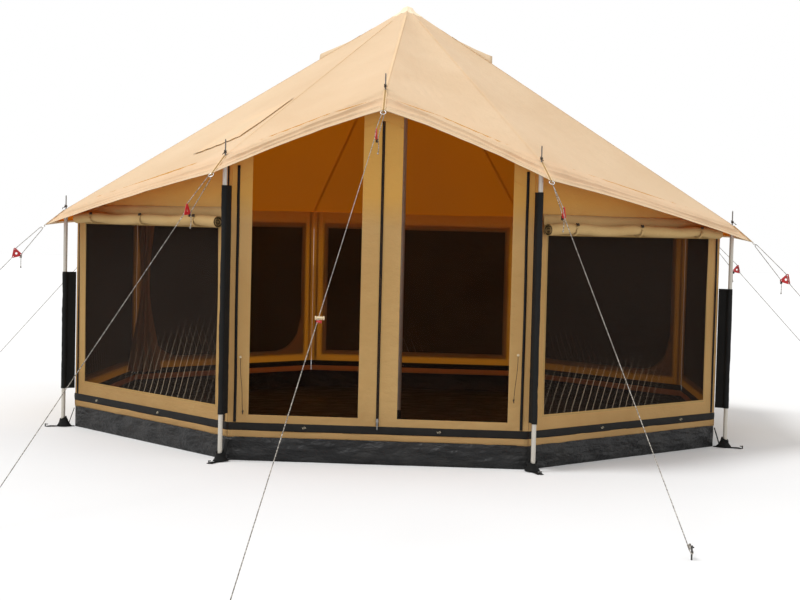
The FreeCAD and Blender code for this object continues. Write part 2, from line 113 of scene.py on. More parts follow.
# The camera, in metres and degrees, with its focal length in widths of the view.
cameraPlan = {
    "place": (0.662, -11.655, 1.475),
    "yaw": -3.282,
    "pitch": -2.782,
    "roll": 1.387,
    "focal": 1.933625,
    "sensor": 36.0,
}


def makeCamera(plan):
    yaw, pitch, roll = (math.radians(plan[key]) for key in ("yaw", "pitch", "roll"))
    ahead = Vector((math.sin(yaw) * math.cos(pitch), math.cos(yaw) * math.cos(pitch), math.sin(pitch)))
    level = Vector((math.cos(yaw), -math.sin(yaw), 0))
    above = level.cross(ahead)
    right = level * math.cos(roll) + above * math.sin(roll)
    above = above * math.cos(roll) - level * math.sin(roll)
    data = bpy.data.cameras.new("camera")
    data.sensor_width = plan["sensor"]
    data.lens = plan["focal"] * plan["sensor"]
    data.clip_end = 200.0
    holder = bpy.data.objects.new("camera", data)
    bpy.context.scene.collection.objects.link(holder)
    turned = Matrix((right, above, -ahead)).transposed().to_4x4()
    holder.matrix_world = Matrix.Translation(Vector(plan["place"])) @ turned
    bpy.context.scene.camera = holder


makeCamera(cameraPlan)
print("camera placed")


# Shader maths.
class Value:
    def __init__(self, finish, socket):
        self.finish = finish
        self.socket = socket

    def maths(self, operation, other, flipped=False):
        pair = (other, self) if flipped else (self, other)
        return self.finish.node("ShaderNodeMath", {"operation": operation}, {0: pair[0], 1: pair[1]})

    def __add__(self, other):
        return self.maths("ADD", other)

    def __sub__(self, other):
        return self.maths("SUBTRACT", other)

    def __rsub__(self, other):
        return self.maths("SUBTRACT", other, True)

    def __mul__(self, other):
        return self.maths("MULTIPLY", other)

    __radd__ = __add__
    __rmul__ = __mul__


class Finish:
    def __init__(self, name):
        self.material = bpy.data.materials.new(name)
        self.material.use_nodes = True
        self.tree = self.material.node_tree
        self.tree.nodes.clear()

    def node(self, kind, settings=None, inputs=None, output=0):
        made = self.tree.nodes.new(kind)
        for key, value in (settings or {}).items():
            if key == "stops":
                for element, (place, colour) in zip(made.color_ramp.elements, value):
                    element.position = place
                    element.color = colour
            else:
                setattr(made, key, value)
        for key, value in (inputs or {}).items():
            if isinstance(value, Value):
                self.tree.links.new(value.socket, made.inputs[key])
            else:
                made.inputs[key].default_value = value
        return Value(self, made.outputs[output])

    def coordinates(self, kind="Object"):
        return self.node("ShaderNodeTexCoord", output=kind)

    def attribute(self, name):
        return self.node("ShaderNodeAttribute", {"attribute_name": name}, output="Fac")

    def stretched(self, vector, scale, turn=0.0):
        return self.node("ShaderNodeMapping", None,
                         {"Vector": vector, "Scale": scale, "Rotation": (0, 0, turn)})

    def speckle(self, vector, scale, detail=2.0, rough=0.5):
        return self.node("ShaderNodeTexNoise", None, {"Vector": vector, "Scale": scale, "Detail": detail,
                                                      "Roughness": rough})

    def stripes(self, vector, scale, direction="X", wobble=0.0):
        return self.node("ShaderNodeTexWave", {"bands_direction": direction},
                         {"Vector": vector, "Scale": scale, "Distortion": wobble, "Detail": 1.0}, "Fac")

    def blend(self, share, first, second):
        return self.node("ShaderNodeMix", {"data_type": "RGBA"}, {0: share, 6: first, 7: second}, 2)

    def ranged(self, value, low, high, outLow=0.0, outHigh=1.0):
        return self.node("ShaderNodeMapRange", {"clamp": True},
                         {"Value": value, 1: low, 2: high, 3: outLow, 4: outHigh})

    def bump(self, height, distance, strength=1.0):
        return self.node("ShaderNodeBump", None,
                         {"Height": height, "Distance": distance, "Strength": strength})

    def surface(self, **inputs):
        return self.node("ShaderNodeBsdfPrincipled", None,
                         {key.replace("_", " "): value for key, value in inputs.items()})

    def done(self, shader):
        end = self.tree.nodes.new("ShaderNodeOutputMaterial")
        self.tree.links.new(shader.socket, end.inputs["Surface"])
        return self.material


def colour(red, green, blue):
    return (red, green, blue, 1.0)


# Finishes.
canvasLook = {
    "roof": colour(0.86, 0.66, 0.44),
    "roofShade": colour(0.78, 0.57, 0.355),
    # painted shade: the wall canvas is the roof canvas darkened, for walls that stand in the roof's shade
    "wall": colour(0.56, 0.37, 0.152),
    "wallShade": colour(0.46, 0.285, 0.100),
    # painted light: the orange the wall takes high up, under the valance, from light shining through the
    # roof
    "wallTop": colour(0.66, 0.36, 0.065),
    # painted light: the roof's inner skin gets a deep orange tone, standing in for sunlight shining through
    # the canvas
    "inside": colour(0.30, 0.12, 0.010),
    "insideShade": colour(0.25, 0.09, 0.007),
    "glow": colour(0.85, 0.30, 0.012),
    "outerGlow": colour(0.95, 0.74, 0.34),
    "wallGlow": colour(0.86, 0.31, 0.006),
}


def canvasFinish(name, light, shade, through=0.0, glow=None, dirtAndPaintedRoofLight=0.0):
    finish = Finish(name)
    cloth = finish.coordinates("UV")
    space = finish.coordinates()
    cloud = finish.speckle(space, 1.3, 4.0, 0.6)
    slub = finish.speckle(finish.stretched(cloth, (60.0, 900.0, 1.0)), 1.0, 2.0)
    cross = finish.speckle(finish.stretched(cloth, (900.0, 60.0, 1.0)), 1.0, 2.0)
    share = finish.ranged(cloud * 0.7 + slub * 0.15 + cross * 0.15, 0.36, 0.64)
    tone = finish.blend(share, shade, light)
    if dirtAndPaintedRoofLight:
        # soiled near the ground, and painted orange light from the roof on the wall above 1.46 m, under the
        # valance
        height = finish.node("ShaderNodeSeparateXYZ", None, {0: space}, "Z")
        low = finish.ranged(height + cloud * 0.3, 0.30, 0.62, dirtAndPaintedRoofLight, 0.0)
        tone = finish.blend(low, tone, colour(0.20, 0.13, 0.07))
        paintedRoofLightShare = finish.ranged(height, 1.46, 1.64, 0.0, 0.7)
        tone = finish.blend(paintedRoofLightShare, tone, canvasLook["wallTop"])
    creases = finish.speckle(finish.stretched(space, (5.0, 5.0, 9.0)), 1.6, 5.0, 0.62)
    fine = slub * 0.5 + cross * 0.5
    relief = finish.bump(creases * 8.0 + fine * 0.35, 0.0014)
    rough = finish.ranged(cloud, 0.3, 0.7, 0.78, 0.92)
    front = finish.surface(Base_Color=tone, Roughness=rough, Normal=relief, Specular_IOR_Level=0.25)
    if not through:
        return finish.done(front)
    back = finish.node("ShaderNodeBsdfTranslucent", None, {"Color": glow})
    joined = finish.node("ShaderNodeMixShader", None, {0: through, 1: front, 2: back})
    return finish.done(joined)


def meshFinish(name, tone, alpha, paintedReflectionStripes=False):
    finish = Finish(name)
    cloth = finish.coordinates("UV")
    cloud = finish.speckle(finish.coordinates(), 2.2, 3.0)
    dark = finish.blend(cloud, tone, tuple(part * 1.7 for part in tone[:3]) + (1.0,))
    if paintedReflectionStripes:
        # painted reflection: pale stripes of reflected light on the window mesh, placed by the crease
        # attribute
        reflectionWaves = finish.stripes(finish.stretched(cloth, (1.0, 1.0, 1.0), 0.40), 5.2, "X", 0.9)
        paintedReflectionMask = finish.attribute("crease")
        share = finish.ranged(reflectionWaves, 0.93, 0.995, 0.0, 0.8) * paintedReflectionMask
        dark = finish.blend(share, dark, colour(0.30, 0.24, 0.17))
    veil = finish.ranged(cloud, 0.3, 0.7, alpha - 0.03, alpha + 0.03)
    return finish.done(finish.surface(Base_Color=dark, Roughness=0.85, Alpha=veil, Specular_IOR_Level=0.12))


def webFinish(name, tone, pitch=900.0, gloss=0.7):
    finish = Finish(name)
    cloth = finish.coordinates("UV")
    ribs = finish.stripes(cloth, pitch / 6.28, "Y")
    wear = finish.speckle(finish.coordinates(), 9.0, 4.0)
    pale = tuple(part * 1.6 + 0.003 for part in tone[:3]) + (1.0,)
    relief = finish.bump(ribs + wear * 0.6, 0.0006)
    return finish.done(finish.surface(Base_Color=finish.blend(wear, tone, pale), Roughness=gloss,
                                      Normal=relief, Specular_IOR_Level=0.14))


def tubFinish():
    finish = Finish("tarpaulin")
    space = finish.coordinates()
    wide = finish.speckle(space, 5.0, 6.0, 0.62)
    fold = finish.speckle(finish.stretched(space, (1.0, 1.0, 2.6)), 6.5, 3.0, 0.45)
    crinkle = finish.speckle(finish.stretched(space, (1.0, 1.0, 1.5)), 34.0, 4.0, 0.55)
    dust = finish.ranged(wide, 0.46, 0.80)
    tone = finish.blend(dust, colour(0.010, 0.010, 0.0105), colour(0.034, 0.032, 0.030))
    relief = finish.bump(fold * 3.0 + crinkle * 0.45, 0.022, 0.9)
    rough = finish.ranged(wide, 0.3, 0.7, 0.36, 0.58)
    return finish.done(finish.surface(Base_Color=tone, Roughness=rough, Normal=relief,
                                      Specular_IOR_Level=0.28))


def metalFinish(name, tone, rough, metallic=1.0, scale=40.0):
    finish = Finish(name)
    space = finish.coordinates()
    cloud = finish.speckle(finish.stretched(space, (1.0, 1.0, 0.15)), scale, 5.0, 0.65)
    dull = tuple(part * 0.72 for part in tone[:3]) + (1.0,)
    relief = finish.bump(cloud, 0.0004)
    return finish.done(finish.surface(Base_Color=finish.blend(cloud, dull, tone), Metallic=metallic,
                                      Roughness=finish.ranged(cloud, 0.25, 0.75, rough - 0.08, rough + 0.12),
                                      Normal=relief))


def plasticFinish(name, tone, rough):
    finish = Finish(name)
    space = finish.coordinates()
    grain = finish.speckle(space, 700.0, 2.0)
    scuff = finish.speckle(space, 60.0, 5.0, 0.7)
    pale = tuple(part * 1.25 + 0.01 for part in tone[:3]) + (1.0,)
    relief = finish.bump(grain * 0.5 + scuff, 0.0003)
    return finish.done(finish.surface(Base_Color=finish.blend(finish.ranged(scuff, 0.45, 0.75), tone, pale),
                                      Roughness=finish.ranged(scuff, 0.3, 0.7, rough, rough + 0.2),
                                      Normal=relief))


def ropeFinish():
    finish = Finish("rope")
    cloth = finish.coordinates("UV")
    strands = finish.stripes(finish.stretched(cloth, (1.0, 1.0, 1.0), 0.7), 60.0, "X")
    space = finish.coordinates()
    flecks = finish.speckle(space, 130.0, 2.0)
    share = finish.ranged(flecks, 0.42, 0.6)
    tone = finish.blend(share, colour(0.10, 0.085, 0.07), colour(0.50, 0.46, 0.40))
    relief = finish.bump(strands, 0.0006)
    return finish.done(finish.surface(Base_Color=tone, Roughness=0.75, Normal=relief))


def zipFinish():
    finish = Finish("zip")
    cloth = finish.coordinates("UV")
    teeth = finish.stripes(cloth, 60.0, "Y")
    wear = finish.speckle(finish.coordinates(), 20.0, 4.0)
    relief = finish.bump(teeth + wear * 0.3, 0.0008)
    tone = finish.blend(wear, colour(0.004, 0.0038, 0.0035), colour(0.017, 0.015, 0.013))
    return finish.done(finish.surface(Base_Color=tone, Roughness=0.6, Normal=relief,
                                      Specular_IOR_Level=0.16))


finishes = {
    "roof": canvasFinish("canvasRoof", canvasLook["roof"], canvasLook["roofShade"], 0.28,
                         canvasLook["outerGlow"]),
    # painted light: the inner skin's deep orange stands in for light shining through the roof
    "roofInsidePaintedLight": canvasFinish("canvasRoofInsidePaintedLight", canvasLook["inside"], canvasLook["insideShade"], 0.75,
                               canvasLook["glow"]),
    "seam": canvasFinish("canvasSeam", colour(0.64, 0.485, 0.32), colour(0.57, 0.415, 0.26)),
    "cap": canvasFinish("canvasCap", colour(0.80, 0.70, 0.53), canvasLook["roof"]),
    # painted shade and painted light: a darker wall tone than the roof's, and painted orange roof light high
    # on the wall
    "wall": canvasFinish("canvasWallPaintedLightAndShade", canvasLook["wall"], canvasLook["wallShade"], 0.27,
                         canvasLook["wallGlow"], 0.25),
    "cover": canvasFinish("canvasCover", colour(0.50, 0.34, 0.15), colour(0.41, 0.26, 0.10)),
    "trim": canvasFinish("canvasTrim", colour(0.40, 0.25, 0.095), colour(0.32, 0.19, 0.06)),
    "doorMesh": meshFinish("doorMesh", colour(0.012, 0.007, 0.004), 0.20),
    "windowMesh": meshFinish("windowMesh", colour(0.008, 0.005, 0.003), 0.70, True),
    "tub": tubFinish(),
    "webbing": webFinish("webbing", colour(0.007, 0.007, 0.0068)),
    "zip": zipFinish(),
    "zipMetal": metalFinish("zipMetal", colour(0.30, 0.29, 0.28), 0.35),
    "tube": metalFinish("galvanisedTube", colour(0.60, 0.56, 0.49), 0.46, 0.25, 30.0),
    "spike": metalFinish("spikeSteel", colour(0.20, 0.19, 0.18), 0.45),
    "ring": metalFinish("ringSteel", colour(0.86, 0.85, 0.82), 0.28, 0.6),
    "peg": metalFinish("pegSteel", colour(0.08, 0.078, 0.075), 0.5),
    "black": plasticFinish("blackPlastic", colour(0.012, 0.012, 0.012), 0.42),
    "red": plasticFinish("redPlastic", colour(0.42, 0.008, 0.010), 0.35),
    "ivory": plasticFinish("ivoryPlastic", colour(0.58, 0.46, 0.28), 0.4),
    "rope": ropeFinish(),
    "darkCord": webFinish("darkCord", colour(0.03, 0.022, 0.016), 1200.0),
    "heat": webFinish("heatPanel", colour(0.20, 0.20, 0.19), 1500.0, 0.5),
    "stitch": webFinish("stitch", colour(0.50, 0.44, 0.32), 2000.0),
}
print("finishes made")

# Guylines: the peg's place on the ground, how far down the rope its tensioner sits, the rope's length.
guyPlan = {
    "door": (-0.224, -6.5, 0.300, 5.126),
    "front_right": (1.605, -4.69, 0.280, 3.321),
    "front_left": (-1.69, -4.64, 0.330, 3.351),
    "right_front": (3.64, -1.51, 0.290, 2.332),
    "left_front": (-3.64, -1.51, 0.230, 2.272),
    "right_back": (3.8, 1.57, 0.300, 2.462),
    "left_back": (-3.8, 1.57, 0.300, 2.462),
    "back_right": (1.45, 3.5, 0.260, 2.201),
    "back_left": (-1.45, 3.5, 0.260, 2.201),
}
# Nodes that keep the solid model's own shape, by finish.
carried = {
    "tube": ["corner_poles", "door_pole", "centre_pole_lower", "centre_pole_upper"],
    "black": ["pole_feet", "centre_pole_head"],
    "spike": ["pole_spikes"],
    "ring": ["steel_rings"],
    "peg": ["foot_pegs", "guy_pegs"],
    "zipMetal": ["door_zip_slider"],
}
carried["red"] = ["tensioner_" + name for name in guyPlan]
for finishName, nodes in carried.items():
    for nodeName in nodes:
        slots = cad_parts[nodeName].data.materials
        if len(slots) == 0:
            slots.append(None)
        for place in range(len(slots)):
            slots[place] = finishes[finishName]


ropePlan = {
    "diameter": 0.0045,
    "pegLoopHeight": 0.035,
    "plateLength": 0.045,
    "plateHalf": 0.028,
    "apart": 0.005,
    "ringSpan": 0.036,
}


def guyFrame(name):
    x, y, tensioner, _ = guyPlan[name]
    slope = (tip[name] - eave[name]).normalized()
    start = tip[name] + slope * ropePlan["ringSpan"]
    end = Vector((x, y, ropePlan["pegLoopHeight"]))
    along = (end - start).normalized()
    sideways = up.cross(along).normalized()
    lift = along.cross(sideways)

    def place(distance, rise, side):
        return start + along * distance + lift * rise + sideways * side

    return place, (end - start).length, tensioner, sideways, along, lift


def onward(corner, other, distance):
    return corner + (other - corner).normalized() * distance


def guyRoute(name):
    place, length, tensioner, sideways, _, _ = guyFrame(name)
    apart = ropePlan["apart"]
    pegSide = [place(length - 0.026, 0, 0.007), place(length + 0.010, 0, 0.008),
               place(length + 0.010, 0, -0.008), place(length - 0.060, 0, -0.006)]
    nose = place(tensioner + ropePlan["plateLength"], 0, -apart)
    shoulder = place(tensioner, ropePlan["plateHalf"], -apart)
    ringIn = place(-0.009, 0.008, -apart)
    ringOut = place(-0.009, -0.008, apart)
    corner = place(tensioner, -ropePlan["plateHalf"], apart)
    near = 6 * ropePlan["diameter"]
    route = pegSide + [onward(pegSide[-1], nose, 0.070), onward(nose, pegSide[-1], 0.053), nose, shoulder,
                       onward(shoulder, ringIn, 0.053), onward(ringIn, shoulder, near), ringIn, ringOut,
                       onward(ringOut, corner, near), onward(corner, ringOut, 0.045), corner]
    route += [corner - up * down + sideways * side for down, side in ((0.045, 0.009), (0.090, 0.002))]
    return route


def splineObject(name, route, diameter, finish):
    curve = bpy.data.curves.new(name, "CURVE")
    curve.dimensions = "3D"
    curve.bevel_depth = diameter / 2
    curve.bevel_resolution = 3
    curve.use_fill_caps = True
    spline = curve.splines.new("NURBS")
    spline.points.add(len(route) - 1)
    for point, place in zip(spline.points, route):
        point.co = (*place, 1.0)
    spline.order_u = 3
    spline.use_endpoint_u = True
    spline.resolution_u = 8
    curve.materials.append(finish)
    made = bpy.data.objects.new(name, curve)
    bpy.context.scene.collection.objects.link(made)
    return made


def centreLine(route):
    bare = splineObject("centreLine", route, 0.0, None)
    bare.data.materials.clear()
    mesh = bpy.data.meshes.new_from_object(bare)
    points = [vertex.co.copy() for vertex in mesh.vertices]
    data = bare.data
    bpy.data.objects.remove(bare)
    bpy.data.curves.remove(data)
    bpy.data.meshes.remove(mesh)
    return points


def windings(name, places, finish, body):
    made = bmesh.new()
    for centre, axis, radius, wire, turns, length in places:
        axis = axis.normalized()
        side = axis.orthogonal().normalized()
        other = axis.cross(side)
        stops = int(turns * 14)
        rings = []
        for i in range(stops + 1):
            share = i / stops
            turn = share * turns * math.tau
            spread = radius * (1.0 + 0.18 * math.sin(turn * 0.37 + i))
            out = side * math.cos(turn) + other * math.sin(turn)
            middle = centre + axis * (length * (share - 0.5)) + out * spread
            ahead = (side * -math.sin(turn) + other * math.cos(turn) + axis * 0.2).normalized()
            cross = ahead.cross(out).normalized()
            ring = [made.verts.new(middle + (out * math.cos(k * math.tau / 6)
                                             + cross * math.sin(k * math.tau / 6)) * wire)
                    for k in range(6)]
            rings.append(ring)
        for first, second in zip(rings, rings[1:]):
            for k in range(6):
                made.faces.new((first[k], first[(k + 1) % 6], second[(k + 1) % 6], second[k]))
        made.faces.new(list(reversed(rings[0])))
        made.faces.new(rings[-1])
    bmesh.ops.recalc_face_normals(made, faces=made.faces)
    mesh = bpy.data.meshes.new(name)
    made.to_mesh(mesh)
    made.free()
    for face in mesh.polygons:
        face.use_smooth = True
    mesh.materials.append(finish)
    holder = bpy.data.objects.new(name, mesh)
    bpy.context.scene.collection.objects.link(holder)
    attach(holder, body)
    return holder


def makeGuylines():
    for name in guyPlan:
        route = guyRoute(name)
        rope = splineObject("rope_" + name, route, ropePlan["diameter"], finishes["rope"])
        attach(rope, "tent")
        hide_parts("guyline_" + name)
        place, length, tensioner, _, along, _ = guyFrame(name)
        lowCorner = place(tensioner, -ropePlan["plateHalf"], 0.0)
        upperKnot = windings("tensionerKnot_" + name,
                             [(lowCorner - up * 0.012, up, 0.0062, 0.0026, 2.6, 0.020)],
                             finishes["darkCord"], "tensioner_" + name)
        pegKnot = windings("pegKnot_" + name,
                           [(place(length - 0.034, 0, 0.0), along, 0.0072, 0.0023, 4.0, 0.026),
                            (route[-1] + up * 0.004, up, 0.0030, 0.0022, 1.8, 0.010)],
                           finishes["rope"], "tent")
        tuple(route[0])


makeGuylines()
print("guylines made")


# Cloth made of grids of points.
class Cloth:
    def __init__(self, name):
        self.name = name
        self.mesh = bmesh.new()
        self.uv = self.mesh.loops.layers.uv.new("cloth")
        # the crease layer marks where painted stripes of reflected light lie on the window mesh
        self.crease = self.mesh.verts.layers.float.new("crease")

    def grid(self, place, across, down, slot=None, size=None, inside=Vector((0, 0, 1.0)), crease=None):
        # place(a, b) gives the point at two stops, and size(a, b) where it lies on the flat cloth
        rows = []
        for b in down:
            row = []
            for a in across:
                vertex = self.mesh.verts.new(place(a, b))
                if crease:
                    vertex[self.crease] = crease(a, b)
                row.append((vertex, size(a, b) if size else (a, b)))
            rows.append(row)
        faces = []
        for j in range(len(down) - 1):
            for i in range(len(across) - 1):
                ring = [rows[j][i], rows[j][i + 1], rows[j + 1][i + 1], rows[j + 1][i]]
                face = self.mesh.faces.new([vertex for vertex, _ in ring])
                for loop, (_, flat) in zip(face.loops, ring):
                    loop[self.uv].uv = flat
                if slot:
                    middle = ((across[i] + across[i + 1]) / 2, (down[j] + down[j + 1]) / 2)
                    face.material_index = slot(*middle)
                face.smooth = True
                faces.append(face)
        leaning = 0.0
        for face in faces:
            face.normal_update()
            away = face.calc_center_median() - inside
            leaning += face.normal.dot(away.normalized()) * face.calc_area()
        if leaning < 0:
            bmesh.ops.reverse_faces(self.mesh, faces=faces)
        return faces

    def make(self, slots, body="tent", replaced=(), thick=0.0, weld=0.00002, offset=1.0,
             lined=False):
        bmesh.ops.remove_doubles(self.mesh, verts=self.mesh.verts, dist=weld)
        mesh = bpy.data.meshes.new(self.name)
        self.mesh.to_mesh(mesh)
        self.mesh.free()
        for name in slots:
            mesh.materials.append(finishes[name])
        holder = bpy.data.objects.new(self.name, mesh)
        bpy.context.scene.collection.objects.link(holder)
        if thick:
            skin = holder.modifiers.new("thickness", "SOLIDIFY")
            skin.thickness = thick
            skin.offset = offset
            if lined:
                skin.material_offset = 1
                skin.material_offset_rim = 0
            bpy.ops.object.select_all(action="DESELECT")
            holder.select_set(True)
            bpy.context.view_layer.objects.active = holder
            bpy.ops.object.modifier_apply(modifier=skin.name)
        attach(holder, body)
        if replaced:
            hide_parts(*replaced)
        return holder


def stops(low, high, count):
    return [low + (high - low) * i / count for i in range(count + 1)]


def shares(count):
    return stops(0.0, 1.0, count)


def joinedStops(*parts):
    joined = list(parts[0])
    for part in parts[1:]:
        joined += part[1:]
    return joined


def roughness(place, scale, seed=0.0):
    return noise.noise(place * scale + Vector((seed, seed * 1.7, -seed)))


def waver(x, y, z, seed):
    return roughness(Vector((x, y, z)), 1.0, seed)


# The roof and its valance are one sheet.
roofPlan = {
    "acrossStops": 30,
    "downStops": 44,
    "hemStops": 22,
    "sag": 0.020,
    "creaseHeight": 0.014,
    "creaseFade": 0.32,
    "creaseStart": 0.10,
    "creaseFan": 26.0,
    "eaveSag": 0.010,
    "foldHeight": 0.021,
    "foldFade": 0.62,
    "gableFade": 0.75,
    "foldRows": 17.0,
    "turnUp": 0.19,
    "skin": 0.0008,
    "seamWidth": 0.014,
    "tipSeamWidth": 0.024,
}


def panelNormal(first, second):
    normal = (eave[second] - peak).cross(eave[first] - peak).normalized()
    return normal if normal.z > 0 else -normal


def tipAxes(name):
    # the way from the spike out to the valance's corner, and the upper side square to it
    slope = (tip[name] - eave[name]).normalized()
    top = slope.cross(up.cross(slope).normalized())
    return slope, top if top.z > 0 else -top


def hemPoint(first, second, share):
    middle = hemMiddle(first, second)
    control = middle * 2.0 - (tip[first] + tip[second]) * 0.5
    rest = 1.0 - share
    return tip[first] * rest * rest + control * 2 * rest * share + tip[second] * share * share


def eavePoint(first, second, share):
    return mixed(eave[first], eave[second], share) - up * roofPlan["eaveSag"] * math.sin(math.pi * share)


def cornerPull(first, second, share):
    # 1 at a corner, fading along the eave
    run = (eave[second] - eave[first]).length
    nearest = first if share < 0.5 else second
    fade = roofPlan["gableFade" if nearest == "door" else "foldFade"]
    return math.exp(-min(share, 1.0 - share) * run / fade)


def canopyPoint(first, second, share, down):
    outward = sideOutward(first, second)
    if down <= 1.0:
        flat = mixed(peak, eavePoint(first, second, share), down)
        ridge = math.sin(math.pi * share)
        lift = -roofPlan["sag"] * ridge * math.sin(math.pi * down) ** 0.8
        for corner in (first, second):
            away = flat - eave[corner]
            distance = away.length + 0.001
            fan = math.atan2(away.z, (away - up * away.z).length) + share * 3.0
            grown = distance / roofPlan["creaseStart"]
            crease = roofPlan["creaseHeight"] * math.exp(-distance / roofPlan["creaseFade"])
            wave = math.sin(fan * roofPlan["creaseFan"] + len(corner))
            lift += crease * (grown / (1 + grown)) * wave * ridge ** 0.5
        lift += 0.004 * roughness(flat, 2.4, 3.0) * ridge * min(1.0, down * 3)
        return flat + panelNormal(first, second) * lift
    share01 = down - 1.0
    start = eavePoint(first, second, share)
    end = hemPoint(first, second, share)
    flat = mixed(start, end, share01)
    pull = cornerPull(first, second, share)
    body = math.sin(math.pi * min(1.0, max(0.0, share)))
    folds = share01 * roofPlan["foldRows"] + 5.0 * min(share, 1.0 - share)
    folds += 0.8 * waver(share * 5.0, 0, 1, 4.0)
    sharp = 1.0 - 2.0 * abs(math.sin(folds * 0.5)) ** 0.7
    held = math.sin(math.pi * min(1.0, share01 * 1.05))
    fold = roofPlan["foldHeight"] * pull * body ** 0.35 * sharp * held
    ripple = 0.006 * share01 * waver(share * 9.0, share01 * 1.5, len(first), 2.0) * body
    facing = (outward + up * 0.7).normalized()
    return flat + facing * (fold + ripple)


def makeCanopy():
    canopy = Cloth("canopy")
    across = shares(roofPlan["acrossStops"])
    down = joinedStops(shares(roofPlan["downStops"]), stops(1.0, 2.0, roofPlan["hemStops"]))
    for first, second in eavePairs:
        width = (eave[second] - eave[first]).length
        height = ((eave[first] + eave[second]) * 0.5 - peak).length

        def size(share, drop):
            reach = min(drop, 1.0) * height + max(0.0, drop - 1.0) * 0.14
            return ((share - 0.5) * width * min(drop, 1.0), -reach)

        canopy.grid(lambda a, b: canopyPoint(first, second, a, b), across, down,
                    lambda a, b: 2 if b > 1.8 else 0, size)
        inward = -sideOutward(first, second) + up * 0.25

        def under(a, b):
            # the hem is turned up behind the edge and stitched
            if b <= 0.0:
                return canopyPoint(first, second, a, 2.0)
            back = canopyPoint(first, second, a, 2.0 - b * roofPlan["turnUp"])
            return back + inward * 0.0022

        canopy.grid(under, across, [0.0, 0.12, 0.5, 1.0], lambda a, b: 2,
                    lambda a, b: (a * width, b * 0.025), inside=Vector((0, 0, 40.0)))
    made = canopy.make(["roof", "roofInsidePaintedLight", "seam", "seam"], replaced=("roof_canvas", "roof_valance"),
                       weld=0.00005, thick=roofPlan["skin"], offset=-1.0, lined=True)


def ribbon(cloth, route, facing, width, lift, slot=0):
    # a strip of cloth along a line of points, with facing(i) its upward side
    rows = []
    for i, point in enumerate(route):
        ahead = (route[min(i + 1, len(route) - 1)] - route[max(i - 1, 0)]).normalized()
        normal = facing(i)
        side = ahead.cross(normal).normalized()
        rows.append((point, side, normal))
    lengths = [0.0]
    for first, second in zip(route, route[1:]):
        lengths.append(lengths[-1] + (second - first).length)

    def place(a, b):
        point, side, normal = rows[b]
        return point + side * a * width / 2 + normal * (lift - 0.0008 * abs(a) ** 3)

    return cloth.grid(place, [-1.0, -0.55, 0.0, 0.55, 1.0], list(range(len(route))), lambda a, b: slot,
                      lambda a, b: (a * width / 2, lengths[b]), inside=route[0] - facing(0) * 5.0)


def makeRidgeSeams():
    seams = Cloth("ridgeSeams")
    for i, name in enumerate(eaveOrder):
        before = eaveOrder[i - 1]
        after = eaveOrder[(i + 1) % len(eaveOrder)]
        middle = (panelNormal(before, name) + panelNormal(name, after)).normalized()
        route = [canopyPoint(name, after, 0.0, down) for down in stops(0.11, 0.995, 40)]
        ribbon(seams, route, lambda k: middle, roofPlan["seamWidth"], 0.0012)
        _, top = tipAxes(name)
        route = [mixed(eave[name], tip[name], share) for share in stops(0.06, 0.98, 6)]
        ribbon(seams, route, lambda k: top, roofPlan["tipSeamWidth"], 0.0022)
    made = seams.make(["roof"], weld=0.00001)


makeCanopy()
makeRidgeSeams()
print("roof made")


# What the walls need.
def onSide(side, along, z, out=0.0):
    outward = polar(1.0, sideAngles[side])
    sideways = Vector((-outward.y, outward.x, 0))
    return outward * (tentPlan["wallApothem"] + out) + sideways * along + up * z


def roofFacets():
    facets = [(peak, eave[first], eave[second]) for first, second in eavePairs]
    for first, second in eavePairs:
        middle = hemMiddle(first, second)
        facets += [(eave[second], eave[first], middle), (eave[first], tip[first], middle),
                   (tip[second], eave[second], middle)]
    return facets


allFacets = roofFacets()


def roofHeight(x, y):
    for a, b, c in allFacets:
        area = (b.x - a.x) * (c.y - a.y) - (c.x - a.x) * (b.y - a.y)
        shareB = ((x - a.x) * (c.y - a.y) - (c.x - a.x) * (y - a.y)) / area
        shareC = ((b.x - a.x) * (y - a.y) - (x - a.x) * (b.y - a.y)) / area
        if min(shareB, shareC, 1 - shareB - shareC) > -1e-5:
            return a.z + shareB * (b.z - a.z) + shareC * (c.z - a.z)
    return tentPlan["sidePoleHeight"]


wallPlan = {
    "low": 0.235,
    "windowLow": 0.33,
    "windowHigh": 1.43,
    "margin": 0.13,
    "roundedCut": 0.30,
    "binding": 0.013,
    "belly": 0.008,
    "topGap": 0.007,
}
windowHalf = halfSide - wallPlan["margin"]
roundedSides = ("back_left", "back_right")
coveredSides = ("left", "back_left", "back", "back_right", "right")


def wallTop(side, along):
    place = onSide(side, along, 0, 0.004)
    return roofHeight(place.x, place.y) - wallPlan["topGap"]


def windowSill(side, along):
    if side not in roundedSides:
        return wallPlan["windowLow"]
    cut = wallPlan["roundedCut"]
    past = (abs(along) - (windowHalf - cut)) / cut
    if past <= 0:
        return wallPlan["windowLow"]
    return wallPlan["windowLow"] + cut * (1 - math.sqrt(max(0.0, 1 - min(1.0, past) ** 2)))


def pascal(side):
    return "".join(part.capitalize() for part in side.split("_"))


